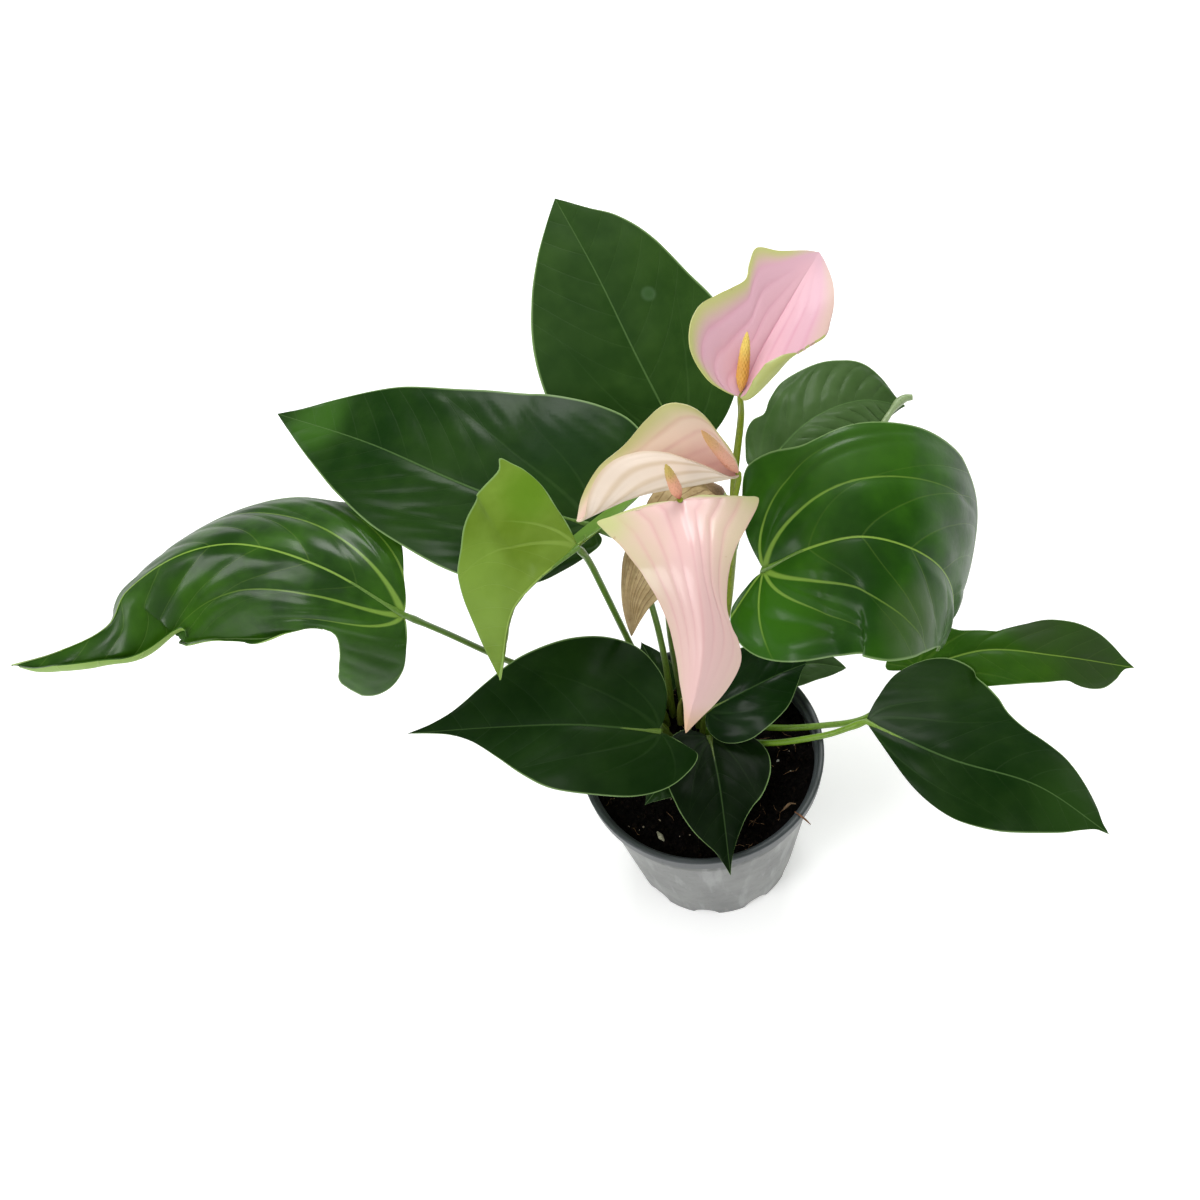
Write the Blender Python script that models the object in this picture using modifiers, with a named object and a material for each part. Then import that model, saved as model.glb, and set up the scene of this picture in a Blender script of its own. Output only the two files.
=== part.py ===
"""Potted anthurium: heart-shaped leaves, pink blooms and a grey nursery pot, in metres, +Z up."""
import math

import bmesh
import bpy
from mathutils import Vector

MM = 0.001

# Pot, 12 cm class, standing on z = 0
RIM_RADIUS = 60 * MM
BASE_RADIUS = 44 * MM
POT_HEIGHT = 105 * MM
POT_WALL = 1.3 * MM
FLOOR = 2 * MM
COLLAR_HEIGHT = 8 * MM
COLLAR_STEP = 2 * MM
POT_SIDES = 36
DRAIN_NOTCHES = 10
DRAIN_RADIUS = 6 * MM
DRAIN_HEIGHT = 5 * MM

# Soil, 10 mm under the rim, with a plain hole for each stem
SOIL_TOP = 95 * MM
SOIL_GAP = 0.3 * MM
STEM_DEPTH = 15 * MM
STEM_CLEARANCE = 0.3 * MM
CROWN = Vector((-3 * MM, 18 * MM, 0))
CROWN_RING = 5.6 * MM

# Leaves, spathes and stems
BLADE = 0.8 * MM
BLADE_ROWS = 14
BLADE_COLUMNS = 3
STEM_SIDES = 6
STEM_STEPS = 10
LEAF_STEM_RADII = (1.8, 1.6, 1.5, 1.4)
BLOOM_STEM_RADII = (1.8, 1.7, 1.6, 1.1)
STALK_ABOVE = 1.5 * MM
SPATHE_CLEARANCE = 0.35 * MM
SHEATH_RADII = (1.8, 1.8, 1.7, 1.3, 0.4)
SMOOTH_ANGLE = math.radians(45)
JOINT_ROW = 0.5
BLADE_MERGE = 0.02 * MM

# Half outlines of a blade: share of the length from the leaf base, share of the half width
LEAF_EDGE = [(1, 0), (0.91, 0.24), (0.81, 0.48), (0.69, 0.7), (0.52, 0.9), (0.34, 1), (0.15, 0.98),
             (0, 0.84), (-0.1, 0.58), (-0.12, 0.3), (-0.06, 0.08), (0, 0)]
POINTED_EDGE = [(1, 0), (0.92, 0.1), (0.82, 0.28), (0.65, 0.58), (0.46, 0.84), (0.26, 1),
                (0.08, 0.95), (-0.05, 0.72), (-0.1, 0.42), (-0.06, 0.14), (0, 0)]
TALL_RIGHT = [(1, 0), (0.91, 0.23), (0.84, 0.43), (0.73, 0.62), (0.56, 0.81), (0.41, 0.97),
              (0.25, 1), (0.12, 0.85), (0.03, 0.62), (-0.03, 0.35), (-0.04, 0.12), (0, 0)]
RIGHT_BIG_BACK = [(1, 0), (0.93, 0.12), (0.86, 0.26), (0.78, 0.48), (0.7, 0.88), (0.57, 1.02),
                  (0.44, 1.02), (0.31, 0.93), (0.2, 0.78), (0.12, 0.82), (0.06, 0.81), (0.02, 0.7),
                  (-0.01, 0.47), (-0.01, 0.22), (0, 0)]
RIGHT_BIG_NEAR = [(1, 0), (0.9, 0.2), (0.8, 0.38), (0.66, 0.58), (0.52, 0.85), (0.4, 0.96),
                  (0.2, 0.92), (0.04, 0.85), (-0.08, 0.69), (-0.14, 0.45), (-0.13, 0.2),
                  (-0.05, 0.05), (0, 0)]
BACK_LEFT_UPPER = [(1, 0), (0.92, 0.1), (0.82, 0.26), (0.64, 0.53), (0.5, 0.7), (0.38, 0.86),
                   (0.22, 1), (0.08, 1.04), (-0.02, 0.98), (-0.08, 0.82), (-0.1, 0.5),
                   (-0.06, 0.15), (0, 0)]
BACK_LEFT_LOWER = [(1, 0), (0.92, 0.16), (0.84, 0.32), (0.75, 0.49), (0.64, 0.69), (0.52, 0.84),
                   (0.4, 0.91), (0.28, 0.97), (0.2, 0.97), (0.11, 0.86), (0.04, 0.62),
                   (-0.02, 0.33), (-0.04, 0.12), (0, 0)]
FAR_LEFT_NEAR = [(1, 0), (0.92, 0.14), (0.84, 0.22), (0.76, 0.34), (0.71, 0.6), (0.64, 0.92),
                 (0.53, 1.1), (0.4, 1.13), (0.3, 1.08), (0.22, 0.89), (0.14, 0.68), (0.1, 0.64),
                 (0.07, 0.8), (0.05, 1.05), (0.03, 1.24), (-0.01, 1.22), (-0.05, 0.95),
                 (-0.06, 0.6), (-0.04, 0.3), (-0.015, 0.08), (0, 0)]
FAR_LEFT_BACK = [(1, 0), (0.88, 0.1), (0.75, 0.2), (0.62, 0.36), (0.54, 0.5), (0.46, 0.64),
                 (0.4, 0.76), (0.34, 0.87), (0.26, 0.83), (0.18, 0.84), (0.13, 0.78), (0.09, 0.6),
                 (0.05, 0.35), (0.01, 0.12), (0, 0)]
RIGHT_FRONT_BACK = [(1, 0), (0.96, 0.06), (0.92, 0.18), (0.85, 0.34), (0.76, 0.49), (0.68, 0.56),
                    (0.61, 0.63), (0.55, 0.78), (0.51, 1), (0.44, 1.22), (0.33, 1.34), (0.2, 1.36),
                    (0.1, 1.33), (0.03, 1.17), (-0.02, 0.8), (-0.02, 0.43), (-0.01, 0.15),
                    (0, 0)]
RIGHT_FRONT_NEAR = [(1, 0), (0.95, 0.05), (0.9, 0.2), (0.83, 0.45), (0.73, 0.68), (0.62, 0.84),
                    (0.52, 0.91), (0.43, 0.9), (0.34, 0.78), (0.25, 0.6), (0.14, 0.34),
                    (0.065, 0.16), (0.02, 0.05), (0, 0)]
FAR_RIGHT_BACK = [(1, 0), (0.95, 0.12), (0.87, 0.38), (0.79, 0.56), (0.68, 0.67), (0.56, 0.67),
                  (0.46, 0.53), (0.37, 0.35), (0.3, 0.38), (0.22, 0.45), (0.16, 0.61), (0.08, 0.72),
                  (-0.02, 0.62), (-0.12, 0.35), (-0.14, 0.12), (-0.06, 0.04), (0, 0)]
FAR_RIGHT_NEAR = [(1, 0), (0.95, 0.06), (0.91, 0.28), (0.86, 0.46), (0.8, 0.51), (0.74, 0.5),
                  (0.67, 0.44), (0.54, 0.55), (0.4, 0.66), (0.28, 0.67), (0.13, 0.61), (0.02, 0.5),
                  (-0.08, 0.35), (-0.13, 0.15), (-0.08, 0.04), (0, 0)]
FRONT_LEFT_BACK = [(1, 0), (0.9, 0.08), (0.8, 0.22), (0.68, 0.51), (0.57, 0.75), (0.46, 0.88),
                   (0.34, 0.97), (0.2, 1), (0.1, 0.94), (0.03, 0.77), (-0.02, 0.5), (-0.02, 0.2),
                   (0, 0)]
FRONT_LEFT_NEAR = [(1, 0), (0.9, 0.02), (0.8, 0.07), (0.7, 0.19), (0.59, 0.43), (0.47, 0.72),
                   (0.37, 0.89), (0.24, 0.96), (0.1, 0.96), (-0.02, 0.82), (-0.1, 0.58),
                   (-0.14, 0.3), (-0.1, 0.18), (-0.05, 0.08), (0, 0)]
FRONT_SMALL_RIGHT = [(1, 0), (0.92, 0.04), (0.84, 0.1), (0.75, 0.2), (0.64, 0.36), (0.56, 0.52),
                     (0.49, 0.7), (0.4, 0.84), (0.3, 0.94), (0.2, 0.96), (0.1, 0.87), (0.02, 0.7),
                     (-0.03, 0.45), (-0.03, 0.2), (0, 0)]
FRONT_SMALL_LEFT = [(1, 0), (0.91, 0.12), (0.84, 0.24), (0.78, 0.4), (0.7, 0.59), (0.6, 0.76),
                    (0.5, 0.88), (0.35, 0.99), (0.17, 1.03), (0.04, 0.97), (-0.06, 0.8),
                    (-0.11, 0.5), (-0.08, 0.27), (-0.04, 0.12), (0, 0)]
MIDDLE_RIGHT_BACK = [(1, 0), (0.9, 0.5), (0.75, 0.95), (0.58, 1.2), (0.41, 1.3), (0.22, 1.15),
                     (0.08, 0.75), (-0.01, 0.4), (0, 0)]
MIDDLE_RIGHT_NEAR = [(1, 0), (0.93, 0.1), (0.8, 0.47), (0.68, 0.77), (0.55, 0.95), (0.42, 1.07),
                     (0.29, 1.13), (0.14, 1.09), (0.02, 0.93), (-0.06, 0.6), (-0.07, 0.33),
                     (-0.04, 0.1), (0, 0)]
BACK_RIGHT_UPPER = [(1, 0), (0.95, 0.08), (0.91, 0.19), (0.86, 0.35), (0.77, 0.56), (0.65, 0.64),
                    (0.52, 0.66), (0.4, 0.65), (0.31, 0.56), (0.23, 0.46), (0.17, 0.51),
                    (0.1, 0.47), (0.02, 0.32), (-0.03, 0.17), (0, 0)]
BACK_RIGHT_LOWER = [(1, 0), (0.95, 0.1), (0.86, 0.36), (0.76, 0.7), (0.62, 1), (0.4, 1.15),
                    (0.2, 1.1), (0.03, 0.85), (-0.08, 0.5), (-0.05, 0.15), (0, 0)]
YOUNG_LEFT = [(1, 0), (0.86, 0.17), (0.71, 0.36), (0.6, 0.57), (0.5, 0.8), (0.42, 1.02), (0.3, 1.1),
              (0.18, 1.12), (0.07, 1.15), (0.03, 1.25), (0, 1.12), (-0.03, 0.97), (-0.05, 0.73),
              (-0.04, 0.48), (-0.03, 0.25), (0, 0)]
YOUNG_RIGHT = [(1, 0), (0.85, 0.3), (0.6, 0.7), (0.35, 0.95), (0.1, 1), (-0.13, 1.1), (-0.3, 1),
               (-0.42, 0.6), (-0.4, 0.3), (-0.25, 0.12), (-0.08, 0.03), (0, 0)]
BLOOM_DRIED_LEFT = [(1, 0), (0.93, 0.1), (0.8, 0.22), (0.7, 0.35), (0.6, 0.5), (0.5, 0.57),
                    (0.38, 0.69), (0.3, 0.89), (0.24, 0.97), (0.18, 0.84), (0.1, 0.62), (0.04, 0.4),
                    (0, 0.18), (0, 0)]
BLOOM_DRIED_RIGHT = [(1, 0), (0.94, 0.19), (0.88, 0.42), (0.8, 0.75), (0.7, 1), (0.55, 1.15),
                     (0.35, 1.1), (0.15, 0.95), (0.02, 0.7), (-0.05, 0.35), (-0.02, 0.1), (0, 0)]
BLOOM_RIGHT_LEFT = [(1, 0), (0.96, 0.15), (0.85, 0.43), (0.77, 0.68), (0.67, 0.65), (0.58, 0.59),
                    (0.5, 0.67), (0.4, 0.81), (0.3, 0.93), (0.2, 0.93), (0.08, 0.8), (-0.01, 0.5),
                    (-0.02, 0.2), (0, 0)]
BLOOM_RIGHT_RIGHT = [(1, 0), (0.96, 0.16), (0.86, 0.43), (0.74, 0.65), (0.57, 0.88), (0.44, 1.05),
                     (0.36, 0.9), (0.27, 0.7), (0.14, 0.6), (0.02, 0.4), (-0.02, 0.2), (0, 0)]
BLOOM_LEFT_BACK = [(1, 0), (0.9, 0.22), (0.73, 0.44), (0.58, 0.56), (0.44, 0.79), (0.34, 0.92),
                   (0.26, 0.92), (0.17, 0.77), (0.08, 0.47), (0.02, 0.25), (0, 0)]
BLOOM_LEFT_NEAR = [(1, 0), (0.88, 0.35), (0.74, 0.77), (0.6, 1), (0.43, 1.01), (0.3, 0.89),
                   (0.2, 0.65), (0.125, 0.42), (0.055, 0.2), (0, 0)]
BLOOM_FRONT_LEFT = [(1, 0), (0.9, 0.1), (0.8, 0.23), (0.68, 0.32), (0.55, 0.38), (0.43, 0.46),
                    (0.33, 0.55), (0.2, 0.65), (0.1, 0.74), (0.03, 0.85), (-0.02, 0.92),
                    (-0.025, 0.75), (-0.03, 0.5), (-0.025, 0.25), (0, 0)]
BLOOM_FRONT_RIGHT = [(1, 0), (0.93, 0.17), (0.87, 0.31), (0.79, 0.44), (0.7, 0.52), (0.63, 0.46),
                     (0.57, 0.36), (0.5, 0.31), (0.41, 0.34), (0.33, 0.4), (0.24, 0.5),
                     (0.14, 0.68), (0.05, 0.85), (0.01, 0.89), (0, 0.73), (-0.01, 0.45),
                     (-0.02, 0.2), (0, 0)]


def clear_scene():
    """Removes every object of the opened scene."""
    for obj in list(bpy.data.objects):
        bpy.data.objects.remove(obj)


def material(name, color, roughness):
    """A plain Principled material."""
    made = bpy.data.materials.new(name)
    made.use_nodes = True
    shader = made.node_tree.nodes["Principled BSDF"]
    shader.inputs["Base Color"].default_value = (*color, 1)
    shader.inputs["Roughness"].default_value = roughness
    return made


def collection(name):
    """A collection linked to the scene."""
    made = bpy.data.collections.new(name)
    bpy.context.scene.collection.children.link(made)
    return made


def spline(points):
    """A smooth curve through points, as a function of 0..1 along it; straight before 0 and after 1."""
    knots = [0.0]
    for a, b in zip(points, points[1:]):
        knots.append(knots[-1] + (b - a).length)
    knots = [k / knots[-1] for k in knots]
    last = len(points) - 1
    slopes = []
    for i in range(last + 1):
        lo = max(i - 1, 0)
        hi = min(i + 1, last)
        slopes.append((points[hi] - points[lo]) / (knots[hi] - knots[lo]))

    def at(t):
        if t <= 0:
            return points[0] + slopes[0] * t
        if t >= 1:
            return points[last] + slopes[last] * (t - 1)
        i = max(k for k in range(last) if knots[k] <= t)
        span = knots[i + 1] - knots[i]
        x = (t - knots[i]) / span
        rise = x * x * (3 - 2 * x)
        leave = x * (1 - x) ** 2 * span
        reach = x * x * (x - 1) * span
        return points[i] * (1 - rise) + points[i + 1] * rise + slopes[i] * leave + slopes[i + 1] * reach

    at.knots = knots
    return at


def bend_across(reach, fold, curl):
    """Place of a point of one half: folded up by fold at the midrib, curling by curl over the half."""
    if abs(curl) < 0.001:
        return reach * math.cos(fold), reach * math.sin(fold)
    turn = fold + curl * reach
    side = (math.sin(turn) - math.sin(fold)) / curl
    lift = (math.cos(fold) - math.cos(turn)) / curl
    return side, lift


def blade_point(spec, row, column):
    """Point of a blade: row 0 at the tip and 1 at the leaf base, column -1..1 from edge to edge."""
    half = 0 if column < 0 else 1
    sign = -1 if column < 0 else 1
    reach = abs(column)
    along, across = spec["edges"][half](row).to_2d()
    inner = max(0, 1 - row / JOINT_ROW)
    along = inner * (1 - reach) + along * reach
    across = across * reach
    middle = spec["midrib"](along)
    tangent = (spec["midrib"](along + 0.01) - spec["midrib"](along - 0.01)).normalized()
    share = min(max(along, 0), 1)
    face = spec["face"].lerp(spec["face_tip"], share)
    side = tangent.cross(face).normalized()
    normal = side.cross(tangent)
    fold = spec["fold"][half] * (1 - share) + spec["fold_tip"][half] * share
    sideways, lift = bend_across(across, fold, spec["curl"][half])
    width = spec["width"][half]
    place = middle + side * (sign * sideways * width) + normal * (lift * width)
    swell, count, phase = spec["wave"]
    ripple = swell * across ** 2 * math.sin(count * 2 * math.pi * along + phase + sign)
    return place + normal * ripple


def blade_spec(midrib, face, width, edges=None, face_tip=None, fold=(0, 0), fold_tip=None, curl=(0, 0),
               wave=(0, 1, 0)):
    """The values of one blade, left half first: lengths in mm, angles in degrees."""
    fold_tip = fold_tip or fold
    face = Vector(face).normalized()
    return {
        "midrib": spline([Vector(p) * MM for p in midrib]),
        "edges": [spline([Vector((a, b, 0)) for a, b in edge]) for edge in edges or (LEAF_EDGE, LEAF_EDGE)],
        "face": face,
        "face_tip": Vector(face_tip).normalized() if face_tip else face,
        "width": (width[0] * MM, width[1] * MM),
        "fold": [math.radians(a) for a in fold],
        "fold_tip": [math.radians(a) for a in fold_tip],
        "curl": [math.radians(a) for a in curl],
        "wave": (wave[0] * MM, wave[1], wave[2]),
    }


def blade(name, spec, group, rows=BLADE_ROWS, columns=BLADE_COLUMNS, thickness=BLADE):
    """A blade as a grid moved onto its formula, cut into triangles and given its thickness."""
    mesh = bpy.data.meshes.new(name)
    bm = bmesh.new()
    bmesh.ops.create_grid(bm, x_segments=2 * columns, y_segments=rows, size=1)
    for vert in bm.verts:
        row = (1 + vert.co.y) / 2
        vert.co = blade_point(spec, row, vert.co.x)
    bmesh.ops.remove_doubles(bm, verts=bm.verts, dist=BLADE_MERGE)
    bmesh.ops.triangulate(bm, faces=bm.faces)
    bm.to_mesh(mesh)
    bm.free()
    obj = bpy.data.objects.new(name, mesh)
    group.objects.link(obj)
    shell = obj.modifiers.new("Solidify", "SOLIDIFY")
    shell.thickness = thickness
    shell.offset = 0
    bake(obj)
    return obj


def bake(obj):
    """Turns an object's modifiers or curve into its mesh."""
    graph = bpy.context.evaluated_depsgraph_get()
    mesh = bpy.data.meshes.new_from_object(obj.evaluated_get(graph))
    mesh.name = obj.name
    obj.modifiers.clear()
    obj.data = mesh


def tube(name, points, radii, group, steps=STEM_STEPS, extra=0, beyond=0):
    """A round stem: straight from the first to the second of points, then smooth; all in mm."""
    path = spline([Vector(p) * MM for p in points])
    swell = spline([Vector((i, r + extra, 0)) for i, r in enumerate(radii)])
    start = path.knots[1]
    shares = [0] + [start + (1 - start) * i / steps for i in range(steps + 1)]
    if beyond:
        shares.append(1 + beyond)
    data = bpy.data.curves.new(name, "CURVE")
    data.dimensions = "3D"
    data.bevel_depth = MM
    data.bevel_resolution = (STEM_SIDES - 4) // 2
    data.use_fill_caps = True
    line = data.splines.new("POLY")
    line.points.add(len(shares) - 1)
    for share, point in zip(shares, line.points):
        point.co = (*path(share), 1)
        point.radius = swell(share).y
    curve = bpy.data.objects.new(name, data)
    group.objects.link(curve)
    graph = bpy.context.evaluated_depsgraph_get()
    mesh = bpy.data.meshes.new_from_object(curve.evaluated_get(graph))
    bpy.data.objects.remove(curve)
    bm = bmesh.new()
    bm.from_mesh(mesh)
    bmesh.ops.remove_doubles(bm, verts=bm.verts, dist=0.01 * MM)
    bmesh.ops.recalc_face_normals(bm, faces=bm.faces)
    bm.to_mesh(mesh)
    bm.free()
    obj = bpy.data.objects.new(name, mesh)
    group.objects.link(obj)
    return obj


def boolean(obj, tools, operation, solver="EXACT"):
    """Joins or cuts obj with every object of the collection tools."""
    step = obj.modifiers.new("Boolean", "BOOLEAN")
    step.operation = operation
    step.operand_type = "COLLECTION"
    step.collection = tools
    step.solver = solver
    bake(obj)


def turned(name, profile, sides, group):
    """A solid turned about Z from a profile of radius and height."""
    mesh = bpy.data.meshes.new(name)
    bm = bmesh.new()
    verts = [bm.verts.new((r, 0, z)) for r, z in profile]
    for a, b in zip(verts, verts[1:]):
        bm.edges.new((a, b))
    bm.to_mesh(mesh)
    bm.free()
    obj = bpy.data.objects.new(name, mesh)
    group.objects.link(obj)
    spin = obj.modifiers.new("Screw", "SCREW")
    spin.axis = "Z"
    spin.steps = sides
    spin.render_steps = sides
    spin.use_merge_vertices = True
    spin.merge_threshold = 0.0001
    spin.use_normal_calculate = True
    bake(obj)
    bm = bmesh.new()
    bm.from_mesh(obj.data)
    bmesh.ops.recalc_face_normals(bm, faces=bm.faces)
    bm.to_mesh(obj.data)
    bm.free()
    return obj


def post(name, radius, low, high, place, sides, group):
    """An upright cylinder from low to high, used to cut."""
    mesh = bpy.data.meshes.new(name)
    bm = bmesh.new()
    bmesh.ops.create_cone(bm, cap_ends=True, segments=sides, radius1=radius, radius2=radius,
                          depth=high - low)
    bmesh.ops.translate(bm, verts=bm.verts, vec=(place.x, place.y, (low + high) / 2))
    bm.to_mesh(mesh)
    bm.free()
    obj = bpy.data.objects.new(name, mesh)
    obj.hide_render = True
    obj.display_type = "WIRE"
    group.objects.link(obj)
    return obj


def wall_radius(z):
    """Outer radius of the tapering pot wall at height z."""
    return BASE_RADIUS + (RIM_RADIUS - COLLAR_STEP - BASE_RADIUS) * z / POT_HEIGHT


def make_pot(group):
    """The pot: tapering wall, stepped collar under the rim and drain notches round the base."""
    low = POT_HEIGHT - COLLAR_HEIGHT
    inner_low = wall_radius(FLOOR) - POT_WALL
    inner_high = wall_radius(low) - POT_WALL
    profile = [(0, 0), (BASE_RADIUS, 0), (wall_radius(low), low), (RIM_RADIUS - 0.5 * MM, low),
               (RIM_RADIUS, POT_HEIGHT), (RIM_RADIUS - POT_WALL * 1.5, POT_HEIGHT),
               (inner_high, low - 2 * MM), (inner_low, FLOOR), (0, FLOOR)]
    pot = turned("pot", profile, POT_SIDES, group)
    cutters = collection("pot_cutters")
    for i in range(DRAIN_NOTCHES):
        angle = 2 * math.pi * i / DRAIN_NOTCHES
        place = Vector((math.cos(angle), math.sin(angle), 0)) * (BASE_RADIUS + DRAIN_RADIUS / 3)
        post("drain_cutter", DRAIN_RADIUS, -MM, DRAIN_HEIGHT, place, 12, cutters)
    boolean(pot, cutters, "DIFFERENCE")
    return pot


def soil_height(x, y):
    """Height of the uneven soil top."""
    waves = math.sin(x * 260 + 1) * math.cos(y * 310) + 0.5 * math.sin(x * 610 - y * 480)
    return SOIL_TOP + waves * MM


def root_place(ring, angle):
    """Place of a stem in the crown, on ring 0, 1 or 2 at an angle in degrees."""
    turn = math.radians(angle)
    return CROWN + Vector((math.cos(turn), math.sin(turn), 0)) * (CROWN_RING * ring)


def make_soil(group, stems):
    """The soil: a turned plug that fills the pot, with a plain hole for each stem."""
    low = FLOOR + SOIL_GAP
    bottom = wall_radius(low) - POT_WALL - SOIL_GAP * 2
    top = wall_radius(SOIL_TOP) - POT_WALL - SOIL_GAP * 2
    rings = [(top * share, SOIL_TOP) for share in (1, 0.8, 0.6, 0.4, 0.2, 0)]
    soil = turned("soil", [(0, low), (bottom, low)] + rings, POT_SIDES, group)
    for vert in soil.data.vertices:
        if vert.co.z > SOIL_TOP - MM:
            vert.co.z = soil_height(vert.co.x, vert.co.y)
    cutters = collection("soil_cutters")
    for place, radius in stems:
        wide = (radius + STEM_CLEARANCE) / math.cos(math.pi / 8)
        post("stem_cutter", wide, SOIL_TOP - STEM_DEPTH - SOIL_GAP, SOIL_TOP + 5 * MM, place, 8, cutters)
    boolean(soil, cutters, "DIFFERENCE")
    return soil


def stem_points(root, points):
    """A stem's route in mm: upright out of its hole in the soil, then through points."""
    x, y = root.x / MM, root.y / MM
    top = SOIL_TOP / MM
    return [(x, y, top - STEM_DEPTH / MM), (x, y, top + 2), (x, y, top + 6)] + points


# Each leaf: ring and angle of its root, stem points, then its blade; lengths in mm, angles in degrees
LEAVES = {
    "leaf_back_tall": dict(
        root=(2, 90), stem=[(0, 62, 140), (16, 104, 180)],
        midrib=[(23, 115, 201), (11, 145, 233), (1, 180, 258), (-10, 217, 277)],
        face=(0.05, -0.5, 0.85), width=(48, 51), edges=(LEAF_EDGE, TALL_RIGHT), fold=(4, 4),
        curl=(-12, -25), wave=(3, 1.3, 0)),
    "leaf_back_left": dict(
        root=(2, 120), stem=[(-8, 32, 150), (-10, 41, 188), (-15, 54, 210)],
        midrib=[(-29, 63, 218), (-72, 81, 235), (-119, 120, 241), (-166, 167, 228)],
        face=(-0.1, -0.3, 1), width=(40, 56), edges=(BACK_LEFT_LOWER, BACK_LEFT_UPPER), fold=(3, 3),
        curl=(-18, -14), wave=(3, 1.5, 1)),
    "leaf_far_left": dict(
        root=(2, 180), stem=[(-40, 36, 118), (-80, 48, 145), (-106, 50, 180)],
        midrib=[(-120, 47, 205), (-150, 68, 225), (-184, 86, 232), (-213, 89, 231), (-240, 79, 226),
                (-251, 68, 219), (-278, 68, 209), (-306, 73, 200)],
        face=(0, -0.3, 1), width=(40, 50), edges=(FAR_LEFT_NEAR, FAR_LEFT_BACK),
        fold=(-20, 5), fold_tip=(-15, -90), curl=(-30, -20), wave=(3, 2, 1)),
    "leaf_young": dict(
        root=(2, 150), stem=[(-22, 41, 145), (-30, 31, 215), (-33, 23, 245)],
        midrib=[(-36, 13, 268), (-55, 6, 262), (-69, 5, 245), (-81, -2, 210)],
        face=(-0.2, -0.4, 0.9), width=(34, 42), edges=(YOUNG_RIGHT, YOUNG_LEFT),
        fold=(-110, 0), curl=(-10, -10), wave=(1, 1.5, 1)),
    "leaf_right_big": dict(
        root=(3, 40), stem=[(28, 36, 150), (38, 16, 210)],
        midrib=[(36, 2, 240), (54, -1, 252), (74, -4, 256), (93, -9, 248), (107, -12, 231), (114, -12, 203),
                (110, -12, 168)],
        face=(0, -0.3, 1), face_tip=(0.9, -0.55, 0.4), width=(54, 50),
        edges=(RIGHT_BIG_BACK, RIGHT_BIG_NEAR),
        fold=(3, 3), curl=(-12, -15), wave=(2, 1.5, 1)),
    "leaf_back_right": dict(
        root=(3, 80), stem=[(30, 70, 135), (48, 92, 165)],
        midrib=[(60, 103, 181), (88, 118, 191), (117, 128, 186), (141, 128, 174)],
        face=(0, -0.3, 1), width=(40, 30), edges=(BACK_RIGHT_UPPER, BACK_RIGHT_LOWER), curl=(-15, -15),
        wave=(3, 2, 1)),
    "leaf_far_right": dict(
        root=(2, 0), stem=[(35, 3, 106), (58, -5, 111), (82, -8, 115)],
        midrib=[(113, 10, 118), (144, 7, 126), (174, -3, 124), (214, -11, 108)],
        face=(0.1, -0.3, 1), face_tip=(0.1, -0.5, 0.8), width=(26, 26),
        edges=(FAR_RIGHT_BACK, FAR_RIGHT_NEAR), curl=(-15, -15), wave=(4, 1.5, 2)),
    "leaf_right_front": dict(
        root=(2, 330), stem=[(27, -7, 112), (56, -19, 127)],
        midrib=[(76, -21, 135), (105, -50, 138), (141, -67, 126), (169, -89, 106)],
        face=(0.1, -0.1, 1), width=(44, 29), edges=(RIGHT_FRONT_BACK, RIGHT_FRONT_NEAR),
        fold=(-5, -15), curl=(-15, -20), wave=(2, 2, 1)),
    "leaf_front_left": dict(
        root=(2, 210), stem=[(-17, 4, 128)],
        midrib=[(-19, -10, 150), (-54, -3, 160), (-91, 10, 152), (-138, 29, 134)],
        face=(0, -0.2, 1), width=(33, 46), edges=(FRONT_LEFT_NEAR, FRONT_LEFT_BACK), curl=(-10, -10),
        wave=(1, 2, 1)),
    "leaf_front_small": dict(
        root=(2, 270), stem=[(1, 3, 111)],
        midrib=[(5, -3, 119), (3, -32, 122), (-2, -71, 114)],
        face=(0, -0.2, 1), width=(27, 24), edges=(FRONT_SMALL_RIGHT, FRONT_SMALL_LEFT), curl=(-10, -10),
        wave=(1, 2, 1)),
    "leaf_middle_right": dict(
        root=(2, 300), stem=[(4, 9, 114)],
        midrib=[(7, 8, 128), (25, 7, 139), (42, 10, 142), (58, 15, 138)],
        face=(0, -0.3, 1), width=(16, 19), edges=(MIDDLE_RIGHT_BACK, MIDDLE_RIGHT_NEAR), curl=(-10, -10),
        wave=(1, 2, 1)),
    "leaf_low_back": dict(
        root=(3, 115), stem=[(-11, 35, 103)],
        midrib=[(-12, 38, 106), (-13, 51, 110), (-16, 67, 109)],
        face=(0, -0.2, 1), width=(10, 10), edges=(POINTED_EDGE, POINTED_EDGE), curl=(-10, -10)),
    "leaf_low_right": dict(
        root=(3, 15), stem=[(26, 25, 106), (37, 28, 109)],
        midrib=[(46, 29, 112), (63, 26, 118), (80, 22, 113)],
        face=(0, -0.2, 1), width=(10, 10), curl=(-10, -10)),
    "leaf_low_left": dict(
        root=(2, 240), stem=[(-10, 0, 106)],
        midrib=[(-11, -10, 111), (-22, -18, 115), (-33, -25, 110)],
        face=(0, -0.2, 1), width=(12, 10), edges=(POINTED_EDGE, POINTED_EDGE), curl=(-10, -10)),
}

BRIGHT_LEAVES = ("leaf_far_left", "leaf_right_big", "leaf_far_right")

# Young sheaths that stand in the crown: root, then points up to the tip
SHEATHS = {
    "sheath_middle": dict(root=(0, 0), points=[(-3, 19, 110), (-3, 20, 117)]),
    "sheath_back": dict(root=(1, 120), points=[(-5, 23, 112), (-3.5, 22.5, 119)]),
}

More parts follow.
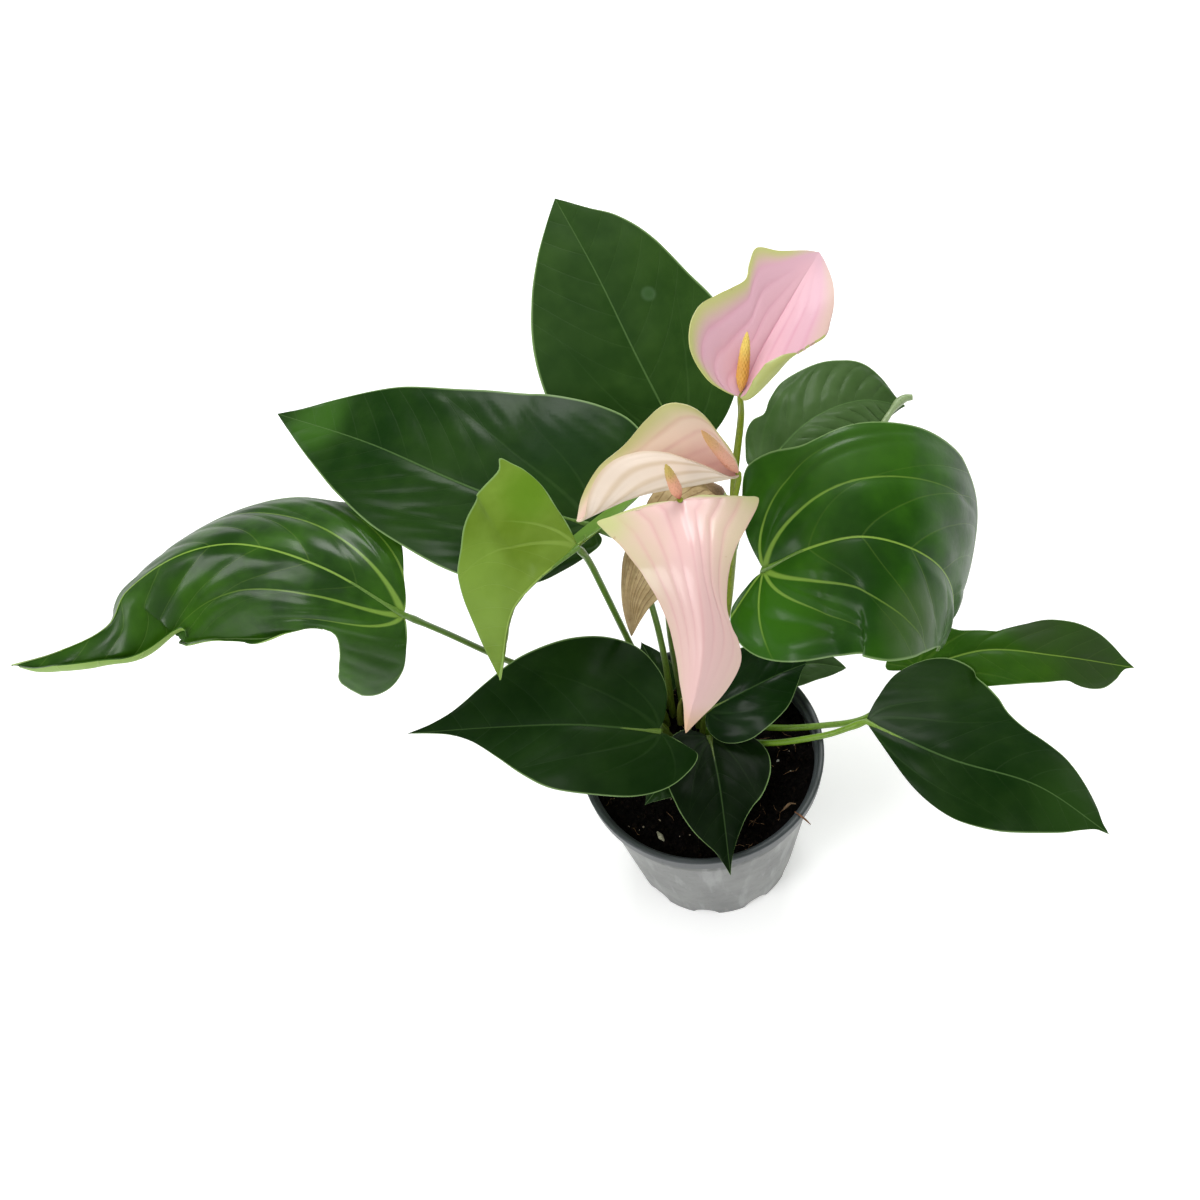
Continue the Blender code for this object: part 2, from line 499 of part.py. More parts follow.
# Each bloom: its root, stem points, spathe blade and the tip of its spadix
BLOOMS = {
    "bloom_right": dict(
        root=(3, 60), stem=[(20, 30, 150), (29, 31, 215), (32, 33, 260), (35, 26, 305)],
        midrib=[(32, 10, 335), (42, 22, 341), (58, 38, 348), (73, 54, 352)],
        face=(0, -0.5, 1), width=(30, 22), edges=(BLOOM_RIGHT_LEFT, BLOOM_RIGHT_RIGHT),
        fold=(25, 50), fold_tip=(10, 0), curl=(10, 20), wave=(1, 2, 1), spadix=(38, 21, 354)),
    "bloom_left": dict(
        root=(1, 60), stem=[(8, 24, 150), (22, 17, 220), (27, 13, 270)],
        midrib=[(29, 5, 299), (12, 5, 300), (-10, 10, 295), (-34, 13, 284)],
        face=(0, -0.58, 0.81), width=(26, 34), edges=(BLOOM_LEFT_NEAR, BLOOM_LEFT_BACK),
        fold=(70, 10), curl=(110, 25), spadix=(16, 3, 330)),
    "bloom_front": dict(
        root=(1, 0), stem=[(1, 20, 150), (1, 16, 210), (3, 4, 275)],
        midrib=[(4, -11, 311), (3, -37, 310), (-1, -61, 290), (-13, -79, 268)],
        face=(0, -0.5, 0.85), width=(32, 34), edges=(BLOOM_FRONT_RIGHT, BLOOM_FRONT_LEFT),
        fold=(-5, -5), fold_tip=(-40, -40), curl=(-12, -12), spadix=(1, -5, 326)),
    "bloom_dried": dict(
        root=(2, 60), stem=[(8, 34, 150), (25, 45, 212)],
        midrib=[(30, 44, 241), (14, 40, 242), (-1, 34, 237), (-12, 28, 225), (-19, 24, 209),
                (-22, 16, 193)],
        face=(0, -0.6, 0.8), width=(18, 18), edges=(BLOOM_DRIED_RIGHT, BLOOM_DRIED_LEFT),
        fold=(-15, -20), curl=(-20, -20), wave=(1, 2, 0), spadix=(22, 42, 254)),
}


def make_leaf(name, values, group, paint):
    """One leaf: its blade and stem joined in one solid."""
    values = dict(values)
    root = root_place(*values.pop("root"))
    stem = values.pop("stem")
    spec = blade_spec(**values)
    obj = blade(name, spec, group)
    tools = collection(name + "_stem")
    base = spec["midrib"](0)
    over = base + spec["face"] * 0.9 * MM
    joined = tube(name + "_joined", stem_points(root, stem + [tuple(over / MM)]), LEAF_STEM_RADII, tools)
    joined.hide_render = True
    joined.display_type = "WIRE"
    boolean(obj, tools, "UNION", "MANIFOLD")
    obj.data.materials.clear()
    obj.data.materials.append(paint)
    return root, LEAF_STEM_RADII[0] * MM


def make_spadix(name, start, end, group, paint, radius=2.4, sides=10, rows=16):
    """A spadix: a tapering spike whose florets stand out as a relief in alternate rows."""
    mesh = bpy.data.meshes.new(name)
    bm = bmesh.new()
    bmesh.ops.create_uvsphere(bm, u_segments=sides, v_segments=rows, radius=1)
    axis = end - start
    turn = axis.to_track_quat("Z", "Y")
    for vert in bm.verts:
        height = math.acos(max(-1, min(1, -vert.co.z))) / math.pi
        angle = math.atan2(vert.co.y, vert.co.x)
        row = round(height * rows)
        column = round(angle / (2 * math.pi) * sides)
        girth = math.sin(math.pi * min(1, height * 3) / 2) * (1 - height ** 6 * 0.9)
        bump = 1.06 if (row + column) % 2 else 0.94
        reach = radius * MM * max(0, girth) * bump * (1 - 0.3 * height)
        if row in (0, rows):
            reach = 0
        local = Vector((math.cos(angle) * reach, math.sin(angle) * reach, height * axis.length))
        vert.co = start + turn @ local
    bm.to_mesh(mesh)
    bm.free()
    obj = bpy.data.objects.new(name, mesh)
    group.objects.link(obj)
    mesh.materials.append(paint)
    return obj


def make_bloom(name, values, group, paints):
    """One bloom: a stem through the base of the coloured spathe, and the spadix on the stem."""
    values = dict(values)
    root = root_place(*values.pop("root"))
    stem = values.pop("stem")
    tip = Vector(values.pop("spadix")) * MM
    spec = blade_spec(**values)
    base = spec["midrib"](0)
    axis = (tip - base).normalized()
    route = stem_points(root, stem + [tuple(base / MM), tuple((base + axis * STALK_ABOVE) / MM)])
    spathe = blade(name + "_spathe", spec, group)
    cutters = collection(name + "_cutters")
    wider = SPATHE_CLEARANCE / MM
    cutter = tube(name + "_cutter", route, BLOOM_STEM_RADII, cutters, extra=wider, beyond=0.02)
    cutter.hide_render = True
    cutter.display_type = "WIRE"
    boolean(spathe, cutters, "DIFFERENCE", "MANIFOLD")
    spathe.data.materials.clear()
    spathe.data.materials.append(paints["spathe"])
    stalk = tube(name + "_stem", route, BLOOM_STEM_RADII, group)
    stalk.data.materials.append(paints["stem"])
    foot = base + axis * (STALK_ABOVE + SPATHE_CLEARANCE)
    make_spadix(name + "_spadix", foot, tip, group, paints["spadix"])
    return root, BLOOM_STEM_RADII[0] * MM


def make_sheath(name, values, group, paint):
    """A young pointed sheath in the crown."""
    root = root_place(*values["root"])
    obj = tube(name, stem_points(root, values["points"]), SHEATH_RADII, group)
    obj.data.materials.append(paint)
    return root, SHEATH_RADII[0] * MM


def shade(obj):
    """Smooth shading that keeps sharp rims."""
    obj.data.shade_smooth()
    obj.data.set_sharp_from_angle(angle=SMOOTH_ANGLE)


def main():
    """Builds the whole plant in its pot."""
    clear_scene()
    group = collection("potted_anthurium")
    dark_green = material("leaf_dark", (0.03, 0.11, 0.03), 0.35)
    bright_green = material("leaf_bright", (0.04, 0.2, 0.01), 0.25)
    young_green = material("leaf_young", (0.2, 0.4, 0.07), 0.35)
    fresh = {
        "stem": material("flower_stem", (0.2, 0.36, 0.06), 0.45),
        "spathe": material("spathe", (0.85, 0.6, 0.58), 0.35),
        "spadix": material("spadix", (0.75, 0.5, 0.12), 0.5),
    }
    brown = material("dried_bloom", (0.42, 0.31, 0.17), 0.8)
    dried = {"stem": fresh["stem"], "spathe": brown, "spadix": brown}
    stems = []
    for name, values in LEAVES.items():
        paint = bright_green if name in BRIGHT_LEAVES else dark_green
        if name == "leaf_young":
            paint = young_green
        stems.append(make_leaf(name, values, group, paint))
    for name, values in BLOOMS.items():
        stems.append(make_bloom(name, values, group, dried if name == "bloom_dried" else fresh))
    for name, values in SHEATHS.items():
        stems.append(make_sheath(name, values, group, young_green))
    pot = make_pot(group)
    pot.data.materials.append(material("pot", (0.3, 0.31, 0.32), 0.45))
    soil = make_soil(group, stems)
    soil.data.materials.append(material("soil", (0.02, 0.015, 0.012), 0.95))
    for obj in group.objects:
        shade(obj)


main()
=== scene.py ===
# %% [markdown]
# A potted anthurium: heart-shaped leaves on long stems, hooded pink blooms with a spike in each, and a
# grey nursery pot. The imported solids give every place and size. Each leaf and bloom is grown again here
# from the same midrib and outlines, much finer, with its veins pressed in. Lengths are in millimetres
# where a value is multiplied by MM, and in metres everywhere else.

# %% Frame
import math
import random

import bmesh
import bpy
from mathutils import Matrix, Vector, noise


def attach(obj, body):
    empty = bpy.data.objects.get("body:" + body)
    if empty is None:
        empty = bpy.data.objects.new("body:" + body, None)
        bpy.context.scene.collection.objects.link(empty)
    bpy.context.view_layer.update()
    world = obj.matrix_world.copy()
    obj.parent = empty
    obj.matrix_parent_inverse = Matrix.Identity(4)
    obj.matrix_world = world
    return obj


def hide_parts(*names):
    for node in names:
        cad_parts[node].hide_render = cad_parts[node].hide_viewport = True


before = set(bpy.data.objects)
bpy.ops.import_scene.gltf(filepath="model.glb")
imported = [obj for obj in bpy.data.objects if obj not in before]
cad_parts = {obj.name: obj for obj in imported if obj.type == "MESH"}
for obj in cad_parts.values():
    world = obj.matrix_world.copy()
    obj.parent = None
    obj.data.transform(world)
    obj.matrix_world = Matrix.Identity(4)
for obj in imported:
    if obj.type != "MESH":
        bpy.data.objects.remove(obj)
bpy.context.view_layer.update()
MM = 0.001
BODY = "root"
print("solids in the frame:", len(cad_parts))

# %% [markdown]
# The camera stands high in front of the plant and leans a little, so that the pot's axis isn't upright in
# the picture. It was fitted to the pot's rim and base, which are circles of known size. A camera's matrix
# is built from where it looks, which way is up in the picture, and their cross product.

# %% Camera
CAMERA_PLACE = Vector((-32, -299, 667)) * MM
CAMERA_PITCH = math.radians(54.5)
CAMERA_ROLL = math.radians(12.9)
CAMERA_LENS = 38.4


def add_camera():
    """The photograph's camera."""
    look = Vector((0, math.cos(CAMERA_PITCH), -math.sin(CAMERA_PITCH)))
    level_up = Vector((0, math.sin(CAMERA_PITCH), math.cos(CAMERA_PITCH)))
    right = Vector((1, 0, 0)) * math.cos(CAMERA_ROLL) - level_up * math.sin(CAMERA_ROLL)
    up = right.cross(look)
    data = bpy.data.cameras.new("camera")
    data.lens = CAMERA_LENS
    data.clip_start = 0.01
    camera = bpy.data.objects.new("camera", data)
    turn = Matrix((right, up, -look)).transposed()
    camera.matrix_world = Matrix.Translation(CAMERA_PLACE) @ turn.to_4x4()
    bpy.context.scene.collection.objects.link(camera)
    return camera


bpy.context.scene.camera = add_camera()
print("camera at", tuple(round(c, 3) for c in CAMERA_PLACE))

# %% [markdown]
# A product photograph of a plant is lit by large soft lights over a white table. Leaves are dark but
# glossy, so what they mirror matters as much as what falls on them. The bright patches on the leaves
# mirror two places, a window high behind the plant and a smaller one at its front left, so a light hangs
# at each. A third light overhead fills the shadows and is kept out of mirror images, or it would lay a
# grey veil over every dark leaf. The plain Standard view shows colours as they are set.

# %% Lights
LIGHTS = {
    "window": dict(azimuth=72, elevation=53, distance=1.7, size=(0.8, 0.6), power=15),
    "side": dict(azimuth=-150, elevation=40, distance=1.6, size=(0.5, 0.8), power=9),
    "overhead": dict(azimuth=-80, elevation=80, distance=1.9, size=(1.4, 1.4), power=12, mirrored=False),
}
AIM = Vector((0, 20, 200)) * MM


def add_light(name, azimuth, elevation, distance, size, power, mirrored=True):
    """A rectangular area light that faces the plant, from a direction in degrees."""
    turn, climb = math.radians(azimuth), math.radians(elevation)
    direction = Vector((math.cos(climb) * math.cos(turn), math.cos(climb) * math.sin(turn), math.sin(climb)))
    data = bpy.data.lights.new(name, "AREA")
    data.shape = "RECTANGLE"
    data.size, data.size_y = size
    data.energy = power
    light = bpy.data.objects.new(name, data)
    light.location = AIM + direction * distance
    light.rotation_euler = (-direction).to_track_quat("-Z", "Y").to_euler()
    light.visible_glossy = mirrored
    bpy.context.scene.collection.objects.link(light)


for light_name, light_values in LIGHTS.items():
    add_light(light_name, **light_values)
bpy.context.scene.view_settings.view_transform = "Standard"
print("lights:", ", ".join(LIGHTS))

# %% [markdown]
# Materials are written as arithmetic. A Value wraps an output socket of a node, and +, -, * and / on it
# add Math nodes, so that 1 - mask works as it reads. A Paint holds one material, and its node method adds
# any other node: its type, then its settings, then the values or links of its sockets.

# %% Shader helpers
def linear(red, green, blue):
    """A colour read from a picture, 0 to 255, as the linear colour that shaders use."""
    parts = (c / 255 for c in (red, green, blue))
    return tuple(c / 12.92 if c <= 0.04045 else ((c + 0.055) / 1.055) ** 2.4 for c in parts) + (1,)


class Value:
    """An output socket that arithmetic works on."""

    def __init__(self, paint, socket):
        self.paint = paint
        self.socket = socket

    def math(self, operation, first, second=0.0):
        return self.paint.node("ShaderNodeMath", {"operation": operation}, {0: first, 1: second})

    def __add__(self, other):
        return self.math("ADD", self, other)

    def __sub__(self, other):
        return self.math("SUBTRACT", self, other)

    def __mul__(self, other):
        return self.math("MULTIPLY", self, other)

    def __truediv__(self, other):
        return self.math("DIVIDE", self, other)

    def __rsub__(self, other):
        return self.math("SUBTRACT", other, self)

    def __mod__(self, other):
        return self.math("FLOORED_MODULO", self, other)

    __radd__ = __add__
    __rmul__ = __mul__

    def __abs__(self):
        return self.math("ABSOLUTE", self)

    def __pow__(self, power):
        return self.math("POWER", self, power)

    def smooth(self, low, high):
        """0 below low, 1 above high, and a smooth rise between them. It falls when low is above high."""
        if low > high:
            return 1 - self.smooth(high, low)
        sockets = {"Value": self, "From Min": low, "From Max": high}
        return self.paint.node("ShaderNodeMapRange", {"interpolation_type": "SMOOTHSTEP"}, sockets)


class Paint:
    """One material and the nodes that make it."""

    def __init__(self, name, **values):
        self.material = bpy.data.materials.new(name)
        self.material.use_nodes = True
        self.tree = self.material.node_tree
        self.shader = self.tree.nodes["Principled BSDF"]
        self.set(self.shader, {key.replace("_", " ").title().replace("Ior", "IOR"): value
                               for key, value in values.items()})

    def set(self, node, sockets):
        """Gives a node's sockets their values or links."""
        for key, value in sockets.items():
            if isinstance(value, Value):
                self.tree.links.new(value.socket, node.inputs[key])
            else:
                node.inputs[key].default_value = value

    def node(self, kind, settings=None, sockets=None, output=0):
        """Adds a node: its settings first, then its sockets; returns one of its outputs."""
        node = self.tree.nodes.new(kind)
        for key, value in (settings or {}).items():
            setattr(node, key, value)
        self.set(node, sockets or {})
        return Value(self, node.outputs[output])

    def mix(self, share, first, second):
        """Blends two colours: sockets, or picture colours from 0 to 255."""
        first, second = (c if isinstance(c, Value) else linear(*c) for c in (first, second))
        return self.node("ShaderNodeMix", {"data_type": "RGBA"}, {0: share, 6: first, 7: second}, 2)

    def place(self):
        """Object coordinates, in metres."""
        return self.node("ShaderNodeTexCoord", output="Object")

    def noise(self, scale, detail=3.0, vector=None, roughness=0.5):
        """Soft noise from 0 to 1; scale is in waves per metre."""
        sockets = {"Vector": vector or self.place(), "Scale": scale, "Detail": detail}
        return self.node("ShaderNodeTexNoise", None, {**sockets, "Roughness": roughness})

    def grow(self):
        """A blade's own coordinates: along the midrib, across it, and the strand from -1 to 1."""
        along, across = self.split(self.node("ShaderNodeUVMap", {"uv_map": "blade"}))[:2]
        strand = self.split(self.node("ShaderNodeUVMap", {"uv_map": "span"}))[0]
        return along, across, strand

    def split(self, vector):
        """The three parts of a vector."""
        node = self.tree.nodes.new("ShaderNodeSeparateXYZ")
        self.set(node, {"Vector": vector})
        return [Value(self, output) for output in node.outputs]

    def bump(self, height, distance, strength=1.0):
        """Sends a height to the shader's normal."""
        sockets = {"Height": height, "Distance": distance, "Strength": strength}
        self.set(self.shader, {"Normal": self.node("ShaderNodeBump", None, sockets)})

    def finish(self, color, roughness=None):
        """Sends the colour and the roughness to the shader and returns the material."""
        self.set(self.shader, {"Base Color": color})
        if roughness is not None:
            self.set(self.shader, {"Roughness": roughness})
        return self.material


print("shader helpers ready")

# %% [markdown]
# The surroundings are a white table in a white room. Seen straight, the room is white. What falls on dull
# surfaces from it is a soft even light, and what a glossy leaf mirrors is bright only near the horizon,
# where the table and the walls are. Light Path tells these three kinds of ray apart. The table glows a
# little, and more away from the plant, so that it stays white where the lamps don't reach.

# %% Surroundings
TABLE_SIZE = 12.0
TABLE_WHITE = (0.94, 0.94, 0.94, 1)
TABLE_GLOW = 0.3
GLOW_RISE = (0.7, 3.2)
HORIZON = (0.4, 0.1)
SOFT_GLOW = 0.5
HORIZON_GLOW = 0.7
UPPER_GLOW = 0.08


class Sky(Paint):
    """The nodes of the surroundings."""

    def __init__(self, world):
        world.use_nodes = True
        self.tree = world.node_tree
        self.shader = self.tree.nodes["Background"]


def mesh_of(bm, name):
    """Turns a finished bmesh into a mesh."""
    mesh = bpy.data.meshes.new(name)
    bm.to_mesh(mesh)
    bm.free()
    return mesh


def add_table():
    """A white table whose glow rises with the distance from the plant."""
    bm = bmesh.new()
    bmesh.ops.create_grid(bm, x_segments=1, y_segments=1, size=TABLE_SIZE / 2)
    mesh = mesh_of(bm, "table")
    table = bpy.data.objects.new("table", mesh)
    bpy.context.scene.collection.objects.link(table)
    paint = Paint("white_table", roughness=0.9, emission_strength=1.0)
    away = paint.node("ShaderNodeVectorMath", {"operation": "LENGTH"}, {0: paint.place()}, "Value")
    glow = away.smooth(*GLOW_RISE) * (1 - TABLE_GLOW) + TABLE_GLOW
    paint.set(paint.shader, {"Emission Color": glow})
    mesh.materials.append(paint.finish(TABLE_WHITE))


def add_surroundings():
    """A white room whose upper part is dim in mirror images."""
    world = bpy.data.worlds.new("surroundings")
    sky = Sky(world)
    z = sky.split(sky.node("ShaderNodeTexCoord", output="Generated"))[2]
    seen = sky.node("ShaderNodeLightPath", output="Is Camera Ray")
    mirrored = sky.node("ShaderNodeLightPath", output="Is Glossy Ray")
    gloss = z.smooth(*HORIZON) * (HORIZON_GLOW - UPPER_GLOW) + UPPER_GLOW
    glow = seen + (1 - seen) * (mirrored * gloss + (1 - mirrored) * SOFT_GLOW)
    sky.set(sky.shader, {"Color": (1, 1, 1, 1), "Strength": glow})
    bpy.context.scene.world = world


add_table()
add_surroundings()
print("surroundings ready")

# %% [markdown]
# A blade is a square grid laid onto a formula. Its midrib is a smooth curve in space, its two half
# outlines say how far it reaches along and across, and it may fold at the midrib, curl towards its edges
# and ripple. All of it is the same as in the solids, so a blade lies where its solid does. One leaf,
# leaf_right_front, has a sharp bend in its midrib. There the direction of the midrib is read over a longer
# step than in the solid, or the blade would fold over itself on the inside of the bend. Two UV maps
# remember where each corner is: "blade" holds along and across, which veins follow, and "span" holds the
# strand, which runs parallel to the edge, and the row. A margin that rolls up is a strip of its own, which
# goes on from the edge of the blade.

# %% Blade formula
JOINT_ROW = 0.5
MERGE = 0.02 * MM
STEP = 0.01
SMOOTH_ANGLE = math.radians(50)
ROLL_GRID = (14, 90)
ROLL_INSIDE = 0.93


def outline(*numbers):
    """Half of a blade's outline from pairs in hundredths, between its tip at 1, 0 and its base at 0, 0."""
    pairs = zip(numbers[::2], numbers[1::2])
    return [(1, 0)] + [(along / 100, across / 100) for along, across in pairs] + [(0, 0)]


LEAF_EDGE = outline(91, 24, 81, 48, 69, 70, 52, 90, 34, 100, 15, 98, 0, 84, -10, 58, -12, 30, -6, 8)


def spline(points):
    """A smooth curve through points, as a function of 0..1 along it; straight before 0 and after 1."""
    knots = [0.0]
    for a, b in zip(points, points[1:]):
        knots.append(knots[-1] + (b - a).length)
    knots = [k / knots[-1] for k in knots]
    last = len(points) - 1
    slopes = []
    for i in range(last + 1):
        lo = max(i - 1, 0)
        hi = min(i + 1, last)
        slopes.append((points[hi] - points[lo]) / (knots[hi] - knots[lo]))

    def at(t):
        if t <= 0:
            return points[0] + slopes[0] * t
        if t >= 1:
            return points[last] + slopes[last] * (t - 1)
        i = max(k for k in range(last) if knots[k] <= t)
        span = knots[i + 1] - knots[i]
        x = (t - knots[i]) / span
        rise = x * x * (3 - 2 * x)
        leave = x * (1 - x) ** 2 * span
        reach = x * x * (x - 1) * span
        return points[i] * (1 - rise) + points[i + 1] * rise + slopes[i] * leave + slopes[i + 1] * reach

    at.knots = knots
    return at


def bend_across(reach, fold, curl):
    """Place of a point of one half: folded up by fold at the midrib, curling by curl over the half."""
    if abs(curl) < 0.001:
        return reach * math.cos(fold), reach * math.sin(fold)
    turn = fold + curl * reach
    side = (math.sin(turn) - math.sin(fold)) / curl
    lift = (math.cos(fold) - math.cos(turn)) / curl
    return side, lift


def blade_spec(midrib, face, width, edges=(LEAF_EDGE, LEAF_EDGE), face_tip=None, fold=(0, 0),
               fold_tip=None, curl=(0, 0), wave=(0, 1, 0), step=STEP):
    """The values of one blade, left half first: lengths in mm, angles in degrees."""
    face = Vector(face).normalized()
    return {
        "midrib": spline([Vector(p) * MM for p in midrib]),
        "edges": [spline([Vector((a, b, 0)) for a, b in edge]) for edge in edges],
        "face": face,
        "face_tip": Vector(face_tip).normalized() if face_tip else face,
        "width": (width[0] * MM, width[1] * MM),
        "fold": [math.radians(a) for a in fold],
        "fold_tip": [math.radians(a) for a in fold_tip or fold],
        "curl": [math.radians(a) for a in curl],
        "wave": (wave[0] * MM, wave[1], wave[2]),
        "step": step,
    }


def blade_flat(spec, row, column):
    """Along and across of a grid point: row 0 at the tip and 1 at the base, column -1..1 edge to edge."""
    half = 0 if column < 0 else 1
    reach = abs(column)
    along, across = spec["edges"][half](row).to_2d()
    inner = max(0, 1 - row / JOINT_ROW)
    return inner * (1 - reach) + along * reach, across * reach


def blade_point(spec, row, column, relief):
    """Point of a blade in space, raised by what relief says, and its along and across."""
    half = 0 if column < 0 else 1
    sign = -1 if column < 0 else 1
    along, across = blade_flat(spec, row, column)
    middle = spec["midrib"](along)
    step = spec["step"]
    tangent = (spec["midrib"](along + step) - spec["midrib"](along - step)).normalized()
    share = min(max(along, 0), 1)
    face = spec["face"].lerp(spec["face_tip"], share)
    side = tangent.cross(face).normalized()
    normal = side.cross(tangent)
    fold = spec["fold"][half] * (1 - share) + spec["fold_tip"][half] * share
    sideways, lift = bend_across(across, fold, spec["curl"][half])
    width = spec["width"][half]
    place = middle + side * (sign * sideways * width) + normal * (lift * width)
    swell, count, phase = spec["wave"]
    ripple = swell * across ** 2 * math.sin(count * 2 * math.pi * along + phase + sign)
    tilt = fold + spec["curl"][half] * across
    out = normal * math.cos(tilt) - side * (sign * math.sin(tilt))
    raised = relief(along, across, column, row)
    return place + normal * ripple + out * raised, (along, across * sign)


def link(name, mesh, *materials):
    """Puts a mesh in the scene as a piece of the plant."""
    piece = bpy.data.objects.new(name, mesh)
    bpy.context.scene.collection.objects.link(piece)
    for paint in materials:
        mesh.materials.append(paint)
    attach(piece, BODY)
    return piece


def evaluated_mesh(piece):
    """What Blender shows for a piece with modifiers or for a curve, as a mesh."""
    graph = bpy.context.evaluated_depsgraph_get()
    return bpy.data.meshes.new_from_object(piece.evaluated_get(graph))


def shade(piece):
    """Smooth shading that keeps sharp rims."""
    piece.data.shade_smooth()
    piece.data.set_sharp_from_angle(angle=SMOOTH_ANGLE)


def lay_grid(name, columns, rows, lay, thickness, top, under):
    """A square grid laid onto a formula, with its thickness and its two finishes.

    lay takes a grid corner, -1 to 1 each way, and gives its place and its two UV pairs."""
    bm = bmesh.new()
    flat_map = bm.loops.layers.uv.new("blade")
    span_map = bm.loops.layers.uv.new("span")
    bmesh.ops.create_grid(bm, x_segments=columns, y_segments=rows, size=1)
    flat, span = {}, {}
    for vert in bm.verts:
        vert.co, flat[vert], span[vert] = lay(vert.co.x, vert.co.y)
    for face in bm.faces:
        for loop in face.loops:
            loop[flat_map].uv = flat[loop.vert]
            loop[span_map].uv = span[loop.vert]
    bmesh.ops.remove_doubles(bm, verts=bm.verts, dist=MERGE)
    bmesh.ops.reverse_faces(bm, faces=bm.faces)
    piece = link(name, mesh_of(bm, name), top, under)
    shell = piece.modifiers.new("Solidify", "SOLIDIFY")
    shell.thickness = thickness
    shell.offset = 0
    shell.material_offset = 1
    mesh = evaluated_mesh(piece)
    piece.modifiers.clear()
    piece.data = mesh
    shade(piece)
    return piece


def grow_blade(name, spec, rows, columns, relief, thickness, top, under):
    """A whole blade with its veins."""
    def lay(x, y):
        row = (1 + y) / 2
        place, flat = blade_point(spec, row, x, relief)
        return place, flat, (x, row)
    return lay_grid(name, 2 * columns, rows, lay, thickness, top, under)


def flat_relief(along, across, column, row):
    """No relief."""
    return 0


def between(stops, x):
    """A number read from stops of position and value, in straight steps."""
    if x <= stops[0][0]:
        return stops[0][1]
    for (x0, value0), (x1, value1) in zip(stops, stops[1:]):
        if x <= x1:
            return value0 + (value1 - value0) * (x - x0) / (x1 - x0)
    return stops[-1][1]


def roll_edge(name, spec, half, rows, lengths, start, turn, thickness, top, under):
    """A strip that goes on from one margin of a blade and bends round: rows say from where to where,
    lengths how long it is in mm at each share along the blade, start and turn its angles in degrees."""
    sign = -1 if half == 0 else 1
    start, turn = math.radians(start), math.radians(turn)

    def lay(x, y):
        reach = (1 + sign * x) / 2
        row = rows[0] + (rows[1] - rows[0]) * (1 + y) / 2
        margin, flat = blade_point(spec, row, sign, flat_relief)
        inner = blade_point(spec, row, sign * ROLL_INSIDE, flat_relief)[0]
        tangent = (blade_point(spec, row - STEP, sign, flat_relief)[0] - margin).normalized()
        outward = margin - inner
        outward = (outward - tangent * outward.dot(tangent)).normalized()
        normal = outward.cross(tangent) * sign
        length = between(lengths, flat[0]) * MM / turn
        angle = start + turn * reach
        side = (math.sin(angle) - math.sin(start)) * length
        lift = (math.cos(start) - math.cos(angle)) * length
        flat = (flat[0], flat[1] * (1 - 0.2 * reach))
        return margin + outward * side + normal * lift, flat, (0.9 * sign, row)
    return lay_grid(name, *ROLL_GRID, lay, thickness, top, under)


print("blade formula ready")

# %% [markdown]
# Every leaf stem is a smooth round tube out of the soil. It swells a little below the blade, and then
# runs on under the midrib as a ridge that thins out. A curve with a bevel makes the tube, and the radius
# at each of its points makes the swelling.

# %% Stems
SOIL_TOP = 95 * MM
STEM_DEPTH = 15 * MM
CROWN = Vector((-3 * MM, 18 * MM, 0))
CROWN_RING = 5.6 * MM
STEM_STEPS = 44
STEM_ROUNDNESS = 6
LEAF_STEM_RADII = (1.8, 1.6, 1.5, 1.4)
BLOOM_STEM_RADII = (1.8, 1.7, 1.6, 1.1)
KNEE = 0.955
KNEE_WIDTH = 0.025
KNEE_SWELL = 0.35
STEM_MERGE = 0.01 * MM
STREAK_TINT = (150, 170, 110)


def root_place(ring, angle):
    """Place of a stem in the crown, on ring 0, 1, 2 or 3 at an angle in degrees."""
    turn = math.radians(angle)
    return CROWN + Vector((math.cos(turn), math.sin(turn), 0)) * (CROWN_RING * ring)


def stem_points(root, points):
    """A stem's route in mm: upright out of its hole in the soil, then through points."""
    x, y = root.x / MM, root.y / MM
    top = SOIL_TOP / MM
    return [(x, y, top - STEM_DEPTH / MM), (x, y, top + 2), (x, y, top + 6)] + points


def new_tubes(name, radius, roundness):
    """An empty curve whose lines will be round tubes with closed ends."""
    data = bpy.data.curves.new(name, "CURVE")
    data.dimensions = "3D"
    data.bevel_depth = radius
    data.bevel_resolution = roundness
    data.use_fill_caps = True
    return data


def mesh_of_tubes(name, data, merge):
    """The closed mesh of a curve's tubes."""
    curve = bpy.data.objects.new(name, data)
    bpy.context.scene.collection.objects.link(curve)
    mesh = evaluated_mesh(curve)
    bpy.data.objects.remove(curve)
    bm = bmesh.new()
    bm.from_mesh(mesh)
    bmesh.ops.remove_doubles(bm, verts=bm.verts, dist=merge)
    bmesh.ops.recalc_face_normals(bm, faces=bm.faces)
    return mesh_of(bm, name)


def tube(name, points, radii, paint, knee=0.0, tail=()):
    """A round stem through points in mm; tail holds points and radii that it thins out along."""
    path = spline([Vector(p) * MM for p in points])
    swell = spline([Vector((i, r, 0)) for i, r in enumerate(radii)])
    start = path.knots[1]
    shares = [0] + [start + (1 - start) * i / STEM_STEPS for i in range(STEM_STEPS + 1)]
    run = [(path(s), swell(s).y + knee * math.exp(-((s - KNEE) / KNEE_WIDTH) ** 2)) for s in shares]
    run += list(tail)
    data = new_tubes(name, MM, STEM_ROUNDNESS)
    line = data.splines.new("POLY")
    line.points.add(len(run) - 1)
    for (place, radius), point in zip(run, line.points):
        point.co = (*place, 1)
        point.radius = radius
    piece = link(name, mesh_of_tubes(name, data, STEM_MERGE), paint)
    shade(piece)
    return piece


